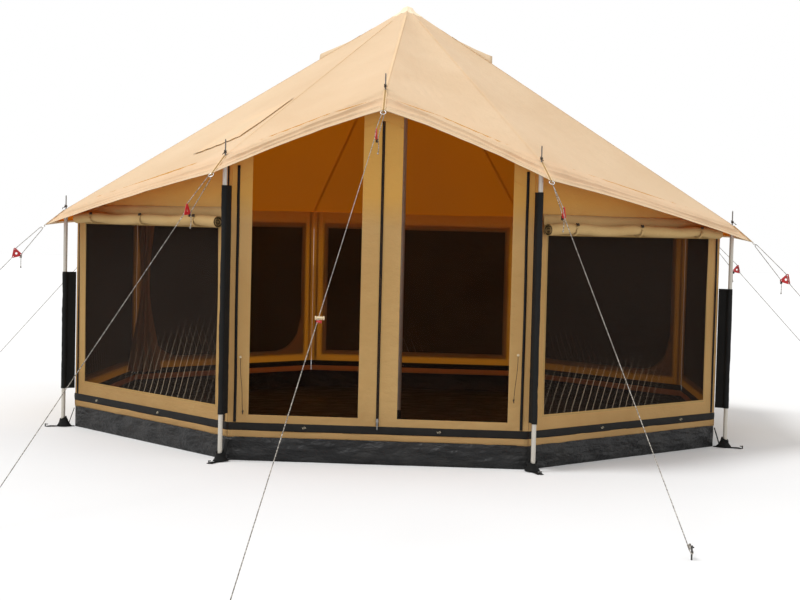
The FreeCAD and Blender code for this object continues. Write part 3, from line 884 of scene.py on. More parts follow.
def makeWall(side, seed):
    cloth = Cloth("wall" + pascal(side))
    edge = wallPlan["binding"]
    across = joinedStops(stops(-halfSide, -windowHalf - edge, 7), [-windowHalf - edge, -windowHalf],
                         stops(-windowHalf, windowHalf, 40), [windowHalf, windowHalf + edge],
                         stops(windowHalf + edge, halfSide, 7))
    # going up, 0 to 1 is under the window, 1 to 2 the window, 2 to 3 over it
    down = joinedStops(stops(0.0, 0.86, 5), [0.86, 1.0], stops(1.0, 2.0, 30), [2.0, 2.1], stops(2.1, 3.0, 5))

    def height(a, b):
        low, high = windowSill(side, a), wallPlan["windowHigh"]
        top = wallTop(side, a)
        if b <= 1.0:
            return mixed(wallPlan["low"], low, b)
        if b <= 2.0:
            return mixed(low, high, b - 1.0)
        return mixed(high, top, b - 2.0)

    def inWindow(a, b):
        return abs(a) < windowHalf and 1.0 < b < 2.0

    def place(a, b):
        z = height(a, b)
        pinned = min(1.0, (halfSide - abs(a)) / 0.05) * min(1.0, (z - wallPlan["low"]) / 0.05)
        spot = Vector((a, z, seed))
        belly = wallPlan["belly"] * (0.5 if side in coveredSides else 1.0)
        out = belly * roughness(spot, 1.6, seed) * pinned
        out += 0.0022 * waver(a * 9.0, z * 2.0, seed, 5.0) * pinned
        if abs(a) > windowHalf + edge:
            out += 0.003 * math.sin(a * 95.0 + z * 2.0) * pinned
        onBinding = (abs(abs(a) - windowHalf - edge / 2) <= edge * 0.6 and 0.8 < b < 2.15) or (
            abs(a) <= windowHalf + edge and (0.84 < b <= 1.0 or 2.0 <= b < 2.12))
        if onBinding:
            out += 0.0028
        if inWindow(a, b):
            across01 = 1 - (abs(a) / windowHalf) ** 4
            lean = -0.007 if side in coveredSides else 0.005
            uneven = 1 + 0.6 * roughness(spot, 3.0, seed + 9)
            out += lean * across01 * math.sin(math.pi * (b - 1.0)) * uneven
        return onSide(side, a, z, 0.002 + out)

    def slot(a, b):
        if inWindow(a, b):
            return 1
        if abs(a) < windowHalf + edge and (0.86 < b < 1.0 or 2.0 < b < 2.1):
            return 2
        if windowHalf < abs(a) < windowHalf + edge and 0.86 < b < 2.1:
            return 2
        return 0

    def within(value):
        return max(0.0, min(1.0, value))

    def crease(a, b):
        # where painted stripes of reflected light lie on the front windows' mesh
        if b < 1.0 or b > 2.0:
            return 0.0
        down01 = 2.0 - b
        left = (a + windowHalf) / (2 * windowHalf)
        if side == "front_right":
            return within((down01 - 0.70) * 6.0) * within(1.4 - abs(left - 0.33) * 3.2)
        return within((down01 - 0.95 + 0.55 * left) * 3.0) * within(1.4 - abs(left - 0.62) * 3.2)

    cloth.grid(place, across, down, slot, lambda a, b: (a, height(a, b)), crease=crease)
    made = cloth.make(["wall", "windowMesh", "trim"], replaced=("wall_" + side,), weld=0.00001)
    tall = max(wallTop(side, halfSide), wallTop(side, -halfSide)) - wallPlan["low"]
    return made


walls = [makeWall(side, 3.0 + i * 2.7) for i, side in enumerate(walledSides)]
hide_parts("window_screens")
print("walls made")


# Window covers: five closed, two rolled up.
coverPlan = {
    "lap": 0.04,
    "edging": 0.018,
    "rollHeight": 1.475,
    "rollOut": 0.047,
    "rollHalf": 0.85,
    "rollRadius": 0.041,
    "rollEdge": 0.012,
    "turns": 6.5,
    "core": 0.006,
    "tiePlaces": (-0.62, 0.0, 0.62),
    "tieHigh": 0.0395,
    "tieDeep": 0.0385,
    "tieDrop": 0.008,
    "tieWidth": 0.018,
    "flapTop": 1.56,
}


def makeCovers():
    cloth = Cloth("closedCovers")
    reach = windowHalf + coverPlan["lap"]
    edging = coverPlan["edging"]
    low, high = wallPlan["windowLow"] - coverPlan["lap"], wallPlan["windowHigh"] + coverPlan["lap"]
    for i, side in enumerate(coveredSides):
        across = joinedStops([-reach, -reach + edging], stops(-reach + edging, reach - edging, 28),
                             [reach - edging, reach])
        down = joinedStops([low, low + edging], stops(low + edging, high - edging, 22),
                           [high - edging, high])

        def place(a, z):
            edgeNear = min(reach - abs(a), z - low, high - z)
            free = min(1.0, edgeNear / 0.12)
            out = 0.0095 + 0.008 * free * (1.1 + 0.8 * roughness(Vector((a, z, i)), 2.3, 7.0 + i))
            out += 0.003 * free * math.sin(z * 21.0 + a * 8.0 + i) * roughness(Vector((a, z, i)), 1.2, 1.0)
            return onSide(side, a, z, out)

        def slot(a, z):
            return 1 if min(reach - abs(a), z - low, high - z) < edging else 0

        cloth.grid(place, across, down, slot)
    made = cloth.make(["cover", "zip"], replaced=("closed_covers",), thick=0.0012)


def rollPoint(side, along, turn, seed):
    # the spiral's radius grows with each turn, and the roll is looser in some places than others
    share = turn / (coverPlan["turns"] * math.tau)
    loose = 1.0 + 0.10 * waver(along * 3.0, 0, seed, 4.0)
    radius = (coverPlan["core"] + (coverPlan["rollRadius"] - coverPlan["core"]) * share) * loose
    tie = min(abs(along - spot) for spot in coverPlan["tiePlaces"])
    radius *= 1.0 - 0.12 * math.exp(-(tie / 0.04) ** 2)
    droop = 0.016 * (1 - math.cos(along * 10.13)) * 0.5
    droop += 0.006 * waver(along * 6.0, 1.0, seed, 5.0)
    sway = 0.004 * waver(along * 4.0, 3.0, seed, 8.0)
    lie = turn + 0.9
    z = coverPlan["rollHeight"] + radius * math.sin(lie) * 0.92 - droop * 0.7
    return onSide(side, along, z, coverPlan["rollOut"] + sway + radius * math.cos(lie) * 0.94)


def makeRolls():
    cloth = Cloth("rolledCovers")
    for i, side in enumerate(("front_left", "front_right")):
        half = coverPlan["rollHalf"]
        inner = half - coverPlan["rollEdge"]
        along = joinedStops([-half, -inner], stops(-inner, inner, 56), [inner, half])
        turns = stops(0.0, coverPlan["turns"] * math.tau, 110)
        cloth.grid(lambda a, b: rollPoint(side, a, b, i * 3.0), along, turns,
                   lambda a, b: 1 if b > turns[-3] or (abs(a) > inner and int(b / math.tau) % 3 == 1) else 0,
                   lambda a, b: (a, b * 0.02))

        def flap(a, b):
            # the cloth between the roll and the wall's top
            start = rollPoint(side, a, turns[-1], i * 3.0)
            end = onSide(side, a, min(wallTop(side, a) - 0.02, coverPlan["flapTop"]), 0.006)
            sag = 0.012 * math.sin(math.pi * b)
            return mixed(start, end, b) - up * sag

        cloth.grid(flap, along, shares(4), None, lambda a, b: (a, b * 0.08))
    made = cloth.make(["cover", "zip"], replaced=("rolled_covers",), thick=0.0010, weld=0.0)
    ties = Cloth("rollTies")
    toggles = []
    for i, side in enumerate(("front_left", "front_right")):
        for spot in coverPlan["tiePlaces"]:
            route = []
            for k in range(25):
                turn = k / 24 * math.tau * 0.98 + 0.4
                high = coverPlan["tieHigh"] * math.sin(turn) * 0.86
                z = coverPlan["rollHeight"] + high - coverPlan["tieDrop"]
                deep = coverPlan["rollOut"] + coverPlan["tieDeep"] * math.cos(turn)
                route.append(onSide(side, spot, z, deep))
            middle = onSide(side, spot, coverPlan["rollHeight"] - coverPlan["tieDrop"], coverPlan["rollOut"])
            ribbon(ties, route, lambda k: (route[k] - middle).normalized(), coverPlan["tieWidth"], 0.0008)
            knot = onSide(side, spot + 0.004, coverPlan["rollHeight"] + 0.028, coverPlan["rollOut"] + 0.033)
            toggles.append((knot, onSide(side, 1.0, 0) - onSide(side, 0.0, 0), 0.0046, 0.0042, 2.0, 0.026))
    made = ties.make(["cover"], replaced=("roll_ties",), thick=0.0012)
    windings("rollToggles", toggles, finishes["darkCord"], "tent")


makeCovers()
makeRolls()
print("covers made")


# Door leaves, the canvas round them, and all upright zips.
doorPlan = {
    "jamb": 0.0525,
    "leafReach": 0.8715,
    "leafTop": ((0.0, 1.72), (0.42, 1.945), (0.8715, 2.105)),
    "topRail": 0.008,
    "gap": 0.0005,
    "hingeStile": 0.075,
    "centreStile": 0.12,
    "sill": 0.285,
    "zipWidth": 0.008,
    "tapeWidth": 0.017,
    "zipLow": 0.238,
    "zipTop": 2.10,
    "sideZipTop": 1.815,
    "zipOut": 0.004,
}


leafBend = doorPlan["leafTop"][1][0]


def leafHeight(reach):
    for (near, low), (far, high) in zip(doorPlan["leafTop"], doorPlan["leafTop"][1:]):
        if reach <= far:
            return low + (high - low) * (reach - near) / (far - near)
    return doorPlan["leafTop"][-1][1]


def makeLeaf(hand, name):
    cloth = Cloth("door" + name)
    inner = doorPlan["leafReach"] - doorPlan["centreStile"]
    stile = doorPlan["hingeStile"]
    lip = 0.010
    across = joinedStops(stops(0.0, stile - lip, 3), [stile - lip, stile], stops(stile, leafBend, 12),
                         stops(leafBend, inner, 12), [inner, inner + lip],
                         stops(inner + lip, doorPlan["leafReach"] - 0.004, 4))
    down = joinedStops(stops(0.0, 0.8, 2), [0.8, 1.0], stops(1.0, 2.0, 40), [2.0, 2.25], stops(2.25, 3.0, 2))

    def height(a, b):
        top = leafHeight(a)
        if b <= 1.0:
            return mixed(wallPlan["low"], doorPlan["sill"], b)
        if b <= 2.0:
            return mixed(doorPlan["sill"], top - doorPlan["topRail"], b - 1.0)
        return mixed(top - doorPlan["topRail"], top, b - 2.0)

    def place(a, b):
        z = height(a, b)
        free = min(1.0, a / 0.06) * min(1.0, (doorPlan["leafReach"] - a) / 0.03)
        free *= min(1.0, (z - wallPlan["low"]) / 0.08)
        out = 0.003 * roughness(Vector((a, z, hand)), 2.0, 6.0) * free
        out += 0.0012 * waver(a * 16.0, z * 2.2, hand, 2.0) * free
        if (stile - lip <= a <= stile or inner <= a <= inner + lip) and 0.8 <= b <= 2.25:
            out += 0.0022
        if stile <= a <= inner and 0.8 <= b <= 1.0:
            out += 0.0022
        return onSide("front", hand * (halfSide - doorPlan["jamb"] - a), z, 0.002 + out)

    def slot(a, b):
        return 1 if stile < a < inner and b > 1.0 else 0

    cloth.grid(place, across, down, slot, lambda a, b: (a, height(a, b)))
    made = cloth.make(["wall", "doorMesh"], body="door_" + name.lower() + "_leaf",
                      replaced=("door_" + name.lower(), "door_" + name.lower() + "_screen"), weld=0.00001)


def zipLine(cloth, start, end, facing, width, wobble, seed, count):
    # a tape with a rounded row of teeth down its middle
    side = (end - start).normalized().cross(facing).normalized()
    length = (end - start).length

    def place(a, b):
        drift = wobble * waver(b * length * 2.2, seed, 0.0, seed)
        crown = 0.0026 if abs(a) < 0.3 else 0.0006
        wave = 0.0015 * waver(b * length * 6.0, seed, a, seed + 3)
        return mixed(start, end, b) + side * (a * width / 2 + drift) + facing * (crown + wave + 0.0012)

    cloth.grid(place, [-1.0, -0.32, -0.22, 0.0, 0.22, 0.32, 1.0], shares(count), None,
               lambda a, b: (a * width / 2, b * length), inside=start - facing * 5.0)


def makeDoorFrame():
    cloth = Cloth("doorFrame")
    gap = doorPlan["gap"]
    hinge = halfSide - doorPlan["jamb"] + gap

    def place(a, b, low):
        top = wallTop("front", a)
        z = mixed(low(a), top, b)
        wave = 0.0015 * waver(a * 20.0, z * 3.0, 4.0, 2.0) * math.sin(math.pi * b)
        return onSide("front", a, z, 0.002 + wave)

    for hand in (-1, 1):
        cloth.grid(lambda a, b: place(hand * a, b, lambda _: wallPlan["low"]), stops(hinge, halfSide, 4),
                   shares(36), None, lambda a, b: (a, b * 1.65))
        inner = doorPlan["leafReach"] - doorPlan["centreStile"]
        stile = doorPlan["hingeStile"]
        across = joinedStops(stops(-gap, stile, 3), stops(stile, leafBend, 12), stops(leafBend, inner, 12),
                             stops(inner, doorPlan["leafReach"] + gap, 4))

        def over(a, b):
            # the mesh goes on over the leaf, up to the roof
            return 1 if stile < a < inner and b < 0.9 else 0

        cloth.grid(lambda a, b: place(hand * (halfSide - doorPlan["jamb"] - a), b,
                                      lambda along: leafHeight(a) + 0.0008),
                   across, stops(0.0, 0.9, 5) + [1.0], over, lambda a, b: (a, b * 0.15))
    made = cloth.make(["wall", "doorMesh"], replaced=("door_frame",), weld=0.00001)


def uprightZip(cloth, side, along, top, width, wobble, seed, count=60):
    low, high = (onSide(side, along, z, doorPlan["zipOut"]) for z in (doorPlan["zipLow"], top))
    zipLine(cloth, low, high, polar(1.0, sideAngles[side]), width, wobble, seed, count)


def makeZips():
    for hand, name in ((-1, "left"), (1, "right")):
        cloth = Cloth("doorZip" + name.capitalize())
        middle = hand * (halfSide - doorPlan["jamb"] - doorPlan["leafReach"] + doorPlan["zipWidth"] / 2)
        uprightZip(cloth, "front", middle, doorPlan["zipTop"], doorPlan["zipWidth"], 0.0, 1.0, 50)
        cloth.make(["zip"], body="door_" + name + "_leaf", replaced=("door_zip_" + name,),
                   thick=0.0008, offset=-1.0)
    cloth = Cloth("cornerZips")
    seed = 0.0
    for side in walledSides:
        for hand in (-1, 1):
            seed += 1.7
            middle = hand * (halfSide - 0.035)
            top = min(wallTop(side, middle - 0.009), wallTop(side, middle + 0.009)) - 0.006
            uprightZip(cloth, side, middle, top, doorPlan["tapeWidth"], 0.0035, seed)
    for hand in (-1, 1):
        middle = hand * (halfSide - doorPlan["jamb"] + 0.010)
        uprightZip(cloth, "front", middle, doorPlan["sideZipTop"], doorPlan["tapeWidth"], 0.004, 30.0 + hand)
    cloth.make(["zip"], replaced=("corner_zips",), thick=0.0008, offset=-1.0)


makeLeaf(-1, "Left")
makeLeaf(1, "Right")
makeDoorFrame()
makeZips()
print("doors made")


# Floor sheet, hem and zip band.
basePlan = {
    "tubTop": 0.147,
    "hemTop": 0.187,
    "bandTop": 0.235,
    "bulge": 0.030,
    "floorLift": 0.0035,
}


def aroundStops(count):
    return stops(-halfSide, halfSide, count)


def makeBase():
    cloth = Cloth("groundsheet")
    for side in sideAngles:
        def tubPoint(a, b):
            spot = onSide(side, a, b * basePlan["tubTop"])
            free = math.sin(math.pi * min(1.0, b * 0.93)) ** 0.7
            atCorner = 1 - (abs(a) / halfSide) ** 10
            out = basePlan["bulge"] * (0.35 + 0.9 * abs(roughness(spot, 4.2, 2.0))) * free * atCorner
            out += 0.005 * waver(spot.x * 9.0, spot.y * 9.0, b * 3.0, 6.0) * free * atCorner
            return onSide(side, a, b * basePlan["tubTop"], max(0.0, out))

        cloth.grid(tubPoint, aroundStops(90), shares(14), None, lambda a, b: (a, b * 0.16))

        def floorPoint(a, b):
            spot = onSide(side, a * b, 0) - onSide(side, 0, 0) * (1.0 - b)
            rise = 0.0022 * (1 + roughness(spot, 3.0, 1.0)) * min(1.0, (1.0 - b) * 20.0)
            return spot + up * (0.0005 + rise)

        cloth.grid(floorPoint, aroundStops(90), shares(14), None, None, inside=Vector((0, 0, -4.0)))
    made = cloth.make(["tub"], replaced=("groundsheet_floor", "groundsheet_sides"),
                      weld=0.0004)

    hem = Cloth("tubHem")
    band = Cloth("baseZips")
    for i, side in enumerate(sideAngles):
        def strip(low, high, out, puff, seed):
            def place(a, b):
                wave = 0.0025 * waver(a * 5.0, b, seed + i, seed)
                return onSide(side, a, mixed(low, high, b), out + wave + puff * math.sin(math.pi * b))
            return place

        hem.grid(strip(basePlan["tubTop"] - 0.003, basePlan["hemTop"] + 0.002, 0.0035, 0.0015, 2.0),
                 aroundStops(50), shares(4), None, lambda a, b: (a, b * 0.03))
        band.grid(strip(basePlan["hemTop"], basePlan["bandTop"], 0.0048, 0.0022, 5.0), aroundStops(70),
                  shares(7), None, lambda a, b: (b * 0.05, a))
    made = hem.make(["wall"], replaced=("tub_hem",), thick=0.0015, offset=-1.0, weld=0.0004)
    made = band.make(["zip"], replaced=("base_zips",), thick=0.0012, offset=-1.0,
                     weld=0.0004)


makeBase()
print("base made")


# Straps, foot wraps and pole sleeves.
strapPlan = {
    "width": 0.04,
    "near": 2.422,
    "far": 2.618,
    "riseFrom": 2.53,
    "tabFoot": 2.4235,
    "tabWidth": 0.026,
    "tipWidth": 0.008,
    "frontSleeve": (0.29, 1.69),
    "sideSleeve": (0.27, 1.09),
    "sleeveRadius": 0.0195,
    "sleeveSeam": 2.4225,
    "wrapRadius": 0.024,
    "wrapTop": 0.062,
    "wrapFlare": 0.020,
}


def makeStraps():
    cloth = Cloth("webbingStraps")
    wraps = Cloth("footWraps")
    for i, (name, angle) in enumerate(cornerAngles.items()):
        route = []
        for radius in stops(strapPlan["near"], strapPlan["far"], 16):
            past = max(0.0, radius - strapPlan["riseFrom"])
            route.append(polar(radius, angle, 0.0004 + 0.004 * max(0.0, math.sin(past * 34.0))))
        ribbon(cloth, route, lambda k: up, strapPlan["width"], 0.0022)
        tab = [polar(strapPlan["tabFoot"] + 0.043 * (1 - share), angle + 0.05, 0.004 + 0.126 * share)
               for share in shares(8)]
        facing = polar(1.0, angle, 0.35).normalized()
        ribbon(cloth, tab, lambda k: facing, strapPlan["tabWidth"], 0.0015)
        # the strap is wrapped round the foot, with its end sewn towards the tub
        centre = polar(tentPlan["poleCircle"], angle)

        def wrap(a, b):
            flare = strapPlan["wrapFlare"] * (1.0 - b) ** 2.2
            pull = 0.016 * (1.0 - b) * max(0.0, -math.cos(a))
            uneven = 1.0 + 0.10 * waver(math.cos(a) * 2.0, math.sin(a) * 2.0, b * 3.0 + i, 5.0)
            turn = math.radians(angle) + a
            reach = (strapPlan["wrapRadius"] + flare + pull) * uneven
            lean = 0.010 * math.cos(a) * b
            return centre + Vector((math.cos(turn), math.sin(turn), 0)) * reach + up * (
                0.006 + (strapPlan["wrapTop"] - 0.006 - lean) * b)

        wraps.grid(wrap, stops(0.0, math.tau, 28), shares(8), None,
                   lambda a, b: (a * 0.025, b * 0.06), inside=centre)
    for name in eaveOrder:
        slope, top = tipAxes(name)
        length = (tip[name] - eave[name]).length
        route = [eave[name] + slope * reach + top * 0.0042 for reach in stops(0.010, length + 0.006, 10)]
        ribbon(cloth, route, lambda k: top, strapPlan["tipWidth"], 0.0010, 1)
        loop = []
        for k in range(9):
            turn = k / 8 * math.pi
            loop.append(tip[name] + slope * (0.006 + 0.006 * math.sin(turn))
                        + top * (0.0052 * math.cos(turn) - 0.001))
        ribbon(cloth, loop, lambda k: (loop[k] - tip[name] - slope * 0.004).normalized(),
               strapPlan["tipWidth"], 0.0, 1)
    made = cloth.make(["webbing", "trim"], replaced=("webbing_straps",), thick=0.0016,
                      offset=-1.0, weld=0.0)
    made = wraps.make(["webbing"], thick=0.0012, offset=-1.0, weld=0.0002)


def makeSleeves():
    cloth = Cloth("poleSleeves")
    for i, (name, angle) in enumerate(cornerAngles.items()):
        low, high = strapPlan["frontSleeve"] if poleHeight(name) > 1.8 else strapPlan["sideSleeve"]
        count = int((high - low) / 0.02)
        outward = polar(1.0, angle)
        flank = polar(1.0, angle + 90.0)
        centre = polar(tentPlan["poleCircle"], angle)

        def around(a, z):
            # a runs from the wall, round the pole and back to the wall
            uneven = waver(z * 7.0, math.sin(a) * 1.5, i, 3.0)
            radius = strapPlan["sleeveRadius"] * (0.92 + 0.16 * uneven)
            radius += 0.0016 * math.sin(z * 90.0 + a * 2.0) * waver(z * 3, 0, i, 1.0)
            if abs(a) <= 1.0:
                turn = a * math.pi * 0.93
                return centre + (outward * math.cos(turn) + flank * math.sin(turn)) * radius + up * z
            share = abs(a) - 1.0
            start = centre - outward * radius * 0.98 + flank * math.copysign(radius * 0.2, a)
            end = polar(strapPlan["sleeveSeam"], angle) + flank * math.copysign(0.0015, a)
            return mixed(start, end, share) + up * z

        across = [-2.0, -1.6, -1.2] + stops(-1.0, 1.0, 18) + [1.2, 1.6, 2.0]
        cloth.grid(around, across, stops(low, high, count), None, lambda a, z: (a * 0.05, z),
                   inside=centre + up * 0.7)
    made = cloth.make(["webbing"], replaced=("pole_sleeves",), weld=0.0)


makeStraps()
makeSleeves()
print("straps made")


# Peak cap, vent hoods and stove flap.
topPlan = {
    "capShare": 0.05,
    "capKnob": 0.017,
    "knobAt": 0.034,
    "knobWidth": 0.019,
    "hoodReach": 0.49,
    "hoodHalf": 0.15,
    "hoodRise": 0.075,
    "flap": ((0.655, 0.03), (0.86, 0.10), (0.86, 0.42), (0.655, 0.42)),
    "jack": ((0.70, 0.14), (0.83, 0.22), (0.83, 0.38), (0.70, 0.38)),
}


def makeCap():
    cloth = Cloth("peakCap")
    for first, second in eavePairs:
        def place(a, b):
            reach = min(b, 1.0) * topPlan["capShare"]
            drop = max(0.0, b - 1.0) * 0.003
            spot = canopyPoint(first, second, a, reach)
            away = math.hypot(spot.x, spot.y)
            knob = topPlan["capKnob"] * math.exp(-((away - topPlan["knobAt"]) / topPlan["knobWidth"]) ** 2)
            return spot + up * (0.0026 - drop + knob)

        cloth.grid(place, shares(8), stops(0.0, 0.9, 14) + [0.93, 1.0, 1.8], None,
                   lambda a, b: (a * 0.10, b * 0.14))
    made = cloth.make(["cap"], replaced=("peak_cap",))


def makeHoods():
    cloth = Cloth("ventHoods")
    half = topPlan["hoodHalf"]
    for angle in (0.0, 180.0):
        outward, flank = polar(1.0, angle), polar(1.0, angle + 90.0)

        def place(a, b):
            # b runs down the roof, a across; the open lip stands up at the lower edge
            spot = outward * (topPlan["hoodReach"] - half + 2 * half * b)
            spot += flank * a * half * (0.93 + 0.07 * b)
            arch = (1 - abs(a) ** 2.6) ** 0.6
            rise = topPlan["hoodRise"] * arch * (b ** 1.15)
            wave = 0.004 * roughness(spot, 14.0, 2.0) * arch
            return Vector((spot.x, spot.y, roofHeight(spot.x, spot.y) + 0.003 + rise + wave))

        cloth.grid(place, stops(-1.0, 1.0, 20), shares(12), None, lambda a, b: (a * half, b * 0.3))
    made = cloth.make(["seam"], replaced=("vent_hoods",), thick=0.0016)


def onPanel(corners, a, b):
    # a four-sided patch laid on the front-left roof panel
    down, across = (mixed(mixed(corners[0][k], corners[1][k], a), mixed(corners[3][k], corners[2][k], a), b)
                    for k in (0, 1))
    return canopyPoint("left_front", "front_left", 1.0 - across, down)


def makeFlap():
    corners = topPlan["flap"]
    lift = panelNormal("left_front", "front_left")
    cloth = Cloth("stoveFlap")

    def place(a, b):
        wave = 0.0016 * waver(a * 5.0, b * 5.0, 2.0, 3.0)
        puff = wave * math.sin(math.pi * a) * math.sin(math.pi * b)
        return onPanel(corners, a, b) + lift * (0.0046 + puff)

    cloth.grid(place, shares(24), shares(24), None, lambda a, b: (a * 0.5, b * 0.5))
    made = cloth.make(["roof"], body="stove_flap_cover", replaced=("stove_flap",))
    edges = Cloth("stoveFlapZip")
    front = [onPanel(corners, share, 0.0) for share in shares(30)]
    low = [onPanel(corners, 1.0, share) for share in shares(24)]
    for route in (front, low):
        ribbon(edges, route, lambda k: lift, 0.009, 0.0062)
    edges.make(["zip"], body="stove_flap_cover", weld=0.0)
    jack = Cloth("stoveJack")
    jack.grid(lambda a, b: onPanel(topPlan["jack"], a, b) + lift * 0.0022, shares(12),
              shares(12), None, lambda a, b: (a * 0.3, b * 0.3))
    made = jack.make(["heat"], replaced=("stove_jack",))


makeCap()
makeHoods()
makeFlap()
print("roof details made")


# Knots, door ties, the curtain inside, stitches and the rope's clip.
knotPlan = {
    "rise": 0.020,
    "tailOut": 0.020,
    "tailRise": 0.004,
}
tiePlan = {
    "edge": 0.074,
    "loose": 0.090,
    "diameter": 0.003,
    "leftEnds": (0.64, 0.30),
    "rightEnds": (0.70, 0.42),
}
curtainPlan = {
    "centre": (2.24, 161.0),
    "low": 0.26,
    "high": 1.50,
    "spread": 0.050,
    "pleats": 9.0,
    "pleatDepth": 0.32,
}


def makeKnots():
    places = []
    for name in eaveOrder:
        foot = eave[name] + up * knotPlan["rise"]
        places.append((foot, up, 0.0072, 0.0026, 2.4, 0.016))
        slope, _ = tipAxes(name)
        tail = foot + slope * knotPlan["tailOut"] + up * knotPlan["tailRise"]
        places.append((tail, slope, 0.0032, 0.0022, 2.0, 0.030))
    windings("spikeKnots", places, finishes["darkCord"], "tent")


def makeDoorTies():
    for hand, name in ((-1, "Left"), (1, "Right")):
        edge = hand * (halfSide - tiePlan["edge"])
        loose = hand * (halfSide - tiePlan["loose"])
        leaf = "door_" + name.lower() + "_leaf"
        top, low = tiePlan[name.lower() + "Ends"]
        route = [onSide("front", edge, top, 0.016), onSide("front", edge, top - 0.05, 0.021),
                 onSide("front", mixed(edge, loose, 0.3), top - 0.12, 0.022),
                 onSide("front", mixed(edge, loose, 0.9), top - 0.20, 0.019),
                 onSide("front", loose, low + 0.05, 0.018),
                 onSide("front", loose - hand * 0.004, low, 0.020)]
        tie = splineObject("doorTie" + name, route, tiePlan["diameter"], finishes["darkCord"])
        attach(tie, leaf)
        end = route[-1]
        hook = windings("doorTieHook" + name,
                        [(end - up * 0.006, Vector((hand, 0.2, 0)), 0.006, 0.0024, 0.8, 0.004),
                         (end + up * 0.006, up, 0.0032, 0.0022, 2.0, 0.012)],
                        finishes["darkCord"], leaf)
        button = windings("doorTieButton" + name,
                          [(route[0], Vector((0, 1, 0)), 0.0042, 0.0034, 2.0, 0.006)],
                          finishes["ivory"], leaf)
        line = centreLine(route)
        length = sum((b - a).length for a, b in zip(line, line[1:]))
        print("door tie", name, round(length, 3))
        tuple(route[0])


def makeCurtain():
    # a spare wall panel, gathered and hung in the corner
    cloth = Cloth("gatheredCurtain")
    centre = polar(*curtainPlan["centre"])
    low, high = curtainPlan["low"], curtainPlan["high"]

    def place(a, z):
        share = (high - z) / (high - low)
        spread = curtainPlan["spread"] + 0.020 * math.sin(z * 5.0) + 0.13 * max(0.0, share - 0.45) ** 1.3
        sway = 0.6 * math.sin(z * 3.0)
        pleat = 1.0 + curtainPlan["pleatDepth"] * math.sin(a * curtainPlan["pleats"] + sway)
        pleat += 0.12 * roughness(Vector((math.cos(a), math.sin(a), z * 2.0)), 1.3, 3.0)
        lean = Vector((0.05, -0.16, 0)) * max(0.0, share - 0.3)
        way = Vector((math.cos(a) * 0.75, math.sin(a) * 1.25, 0))
        return centre + lean + way * spread * pleat + up * z

    cloth.grid(place, stops(0.0, math.tau, 120), stops(low, high, 40), None, lambda a, z: (a * 0.2, z),
               inside=centre + up * 0.8)
    made = cloth.make(["wall"], weld=0.0002)


stitchPlan = {
    "places": (("front_left", -0.62), ("front_left", 0.15), ("front", -0.45), ("front", 0.38),
               ("front_right", -0.25), ("front_right", 0.55), ("right", -0.3), ("back", 0.1), ("left", 0.2)),
    "height": 0.212,
    "out": 0.0095,
}


def makeStitches():
    places = []
    for side, along in stitchPlan["places"]:
        centre = onSide(side, along, stitchPlan["height"], stitchPlan["out"])
        sideways = onSide(side, 1.0, 0) - onSide(side, 0.0, 0)
        places.append((centre, sideways + up * 0.3, 0.0050, 0.0011, 2.6, 0.022))
    windings("bandStitches", places, finishes["stitch"], "tent")


clipPlan = {
    "along": 2.435,
    "radius": 0.0070,
    "length": 0.026,
    "apart": 0.034,
    "stopRadius": 0.006,
    "stopLength": 0.014,
}


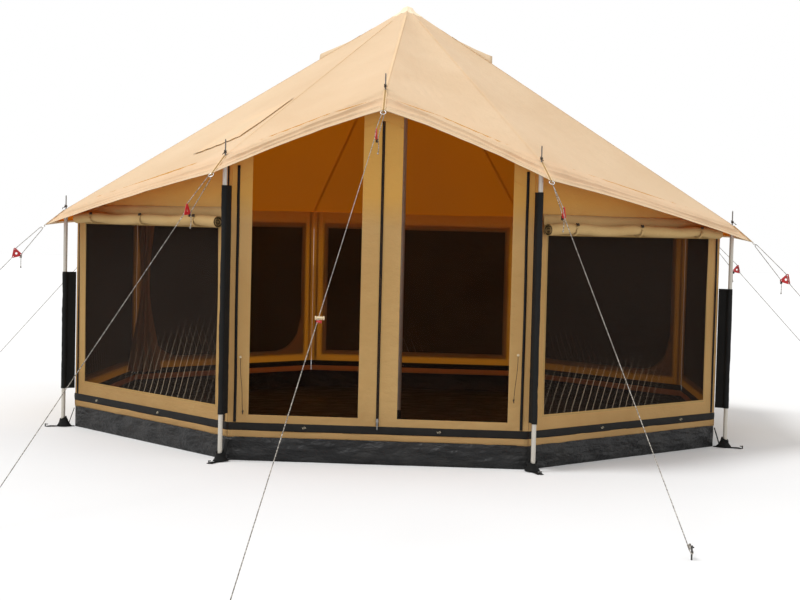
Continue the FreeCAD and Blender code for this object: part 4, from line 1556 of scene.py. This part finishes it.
def makeRopeClip():
    # a toggle across the rope: a waisted bar with two flared ends, and a small stop under it
    place, _, _, sideways, along, lift = guyFrame("door")
    turned = Matrix((sideways, lift, along)).transposed().to_euler()
    bar, stop = place(clipPlan["along"], 0.0, 0.0), place(clipPlan["along"] + clipPlan["apart"], 0.0, 0.002)
    for name, finish, spot, size, stretch in (
            ("ropeToggle", "ivory", bar, clipPlan["radius"], clipPlan["length"]),
            ("ropeStop", "red", stop, clipPlan["stopRadius"], clipPlan["stopLength"])):
        bpy.ops.object.select_all(action="DESELECT")
        bpy.ops.mesh.primitive_cylinder_add(vertices=32, radius=size, depth=stretch)
        made = bpy.context.active_object
        made.name = name
        bpy.ops.object.mode_set(mode="EDIT")
        bpy.ops.mesh.select_mode(type="FACE")
        bpy.ops.mesh.select_all(action="DESELECT")
        shape = bmesh.from_edit_mesh(made.data)
        for face in shape.faces:
            face.select_set(len(face.verts) > 4)
        bmesh.update_edit_mesh(made.data)
        bpy.ops.mesh.inset(thickness=size * 0.30, use_individual=True)
        bpy.ops.mesh.extrude_region_shrink_fatten(TRANSFORM_OT_shrink_fatten={"value": stretch * 0.18})
        bpy.ops.transform.resize(value=(1.9, 1.9, 1.0))
        bpy.ops.mesh.extrude_region_shrink_fatten(TRANSFORM_OT_shrink_fatten={"value": stretch * 0.16})
        bpy.ops.mesh.inset(thickness=size * 0.25, use_individual=True)
        bpy.ops.mesh.extrude_region_shrink_fatten(TRANSFORM_OT_shrink_fatten={"value": -stretch * 0.06})
        bpy.ops.object.mode_set(mode="OBJECT")
        soften = made.modifiers.new("soften", "BEVEL")
        soften.width = size * 0.12
        soften.segments = 3
        bpy.ops.object.modifier_apply(modifier=soften.name)
        lying = Matrix.Rotation(math.pi / 2, 4, "Y")
        made.data.transform(Matrix.Translation(spot) @ turned.to_matrix().to_4x4() @ lying)
        bpy.ops.object.shade_smooth_by_angle(angle=math.radians(35.0))
        made.data.materials.append(finishes[finish])
        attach(made, "tent")


makeKnots()
makeDoorTies()
makeCurtain()
makeStitches()
makeRopeClip()
print("small pieces made")


# Floor and light.
stagePlan = {
    "floorSize": 90.0,
    "skyStrength": 1.0,
    "sunStrength": 1.7,
    "sunTurn": (10.0, -26.0, 0.0),
    "sunAngle": 18.0,
}


def makeStage():
    bpy.ops.object.select_all(action="DESELECT")
    bpy.ops.mesh.primitive_plane_add(size=stagePlan["floorSize"], location=(0, 0, -0.0005))
    ground = bpy.context.active_object
    ground.name = "studioFloor"
    finish = Finish("studioFloor")
    cloud = finish.speckle(finish.coordinates(), 0.6, 3.0)
    tone = finish.blend(cloud, colour(0.70, 0.70, 0.70), colour(0.74, 0.74, 0.74))
    ground.data.materials.append(finish.done(finish.surface(Base_Color=tone, Roughness=0.9,
                                                            Specular_IOR_Level=0.1)))
    world = bpy.data.worlds.new("studio")
    bpy.context.scene.world = world
    world.use_nodes = True
    sky = world.node_tree.nodes["Background"]
    sky.inputs["Color"].default_value = colour(1.0, 1.0, 1.0)
    sky.inputs["Strength"].default_value = stagePlan["skyStrength"]
    lamp = bpy.data.lights.new("softSun", "SUN")
    lamp.energy = stagePlan["sunStrength"]
    lamp.angle = math.radians(stagePlan["sunAngle"])
    holder = bpy.data.objects.new("softSun", lamp)
    holder.rotation_euler = [math.radians(part) for part in stagePlan["sunTurn"]]
    bpy.context.scene.collection.objects.link(holder)
    bpy.context.scene.view_settings.view_transform = "Standard"


makeStage()
print("stage made")
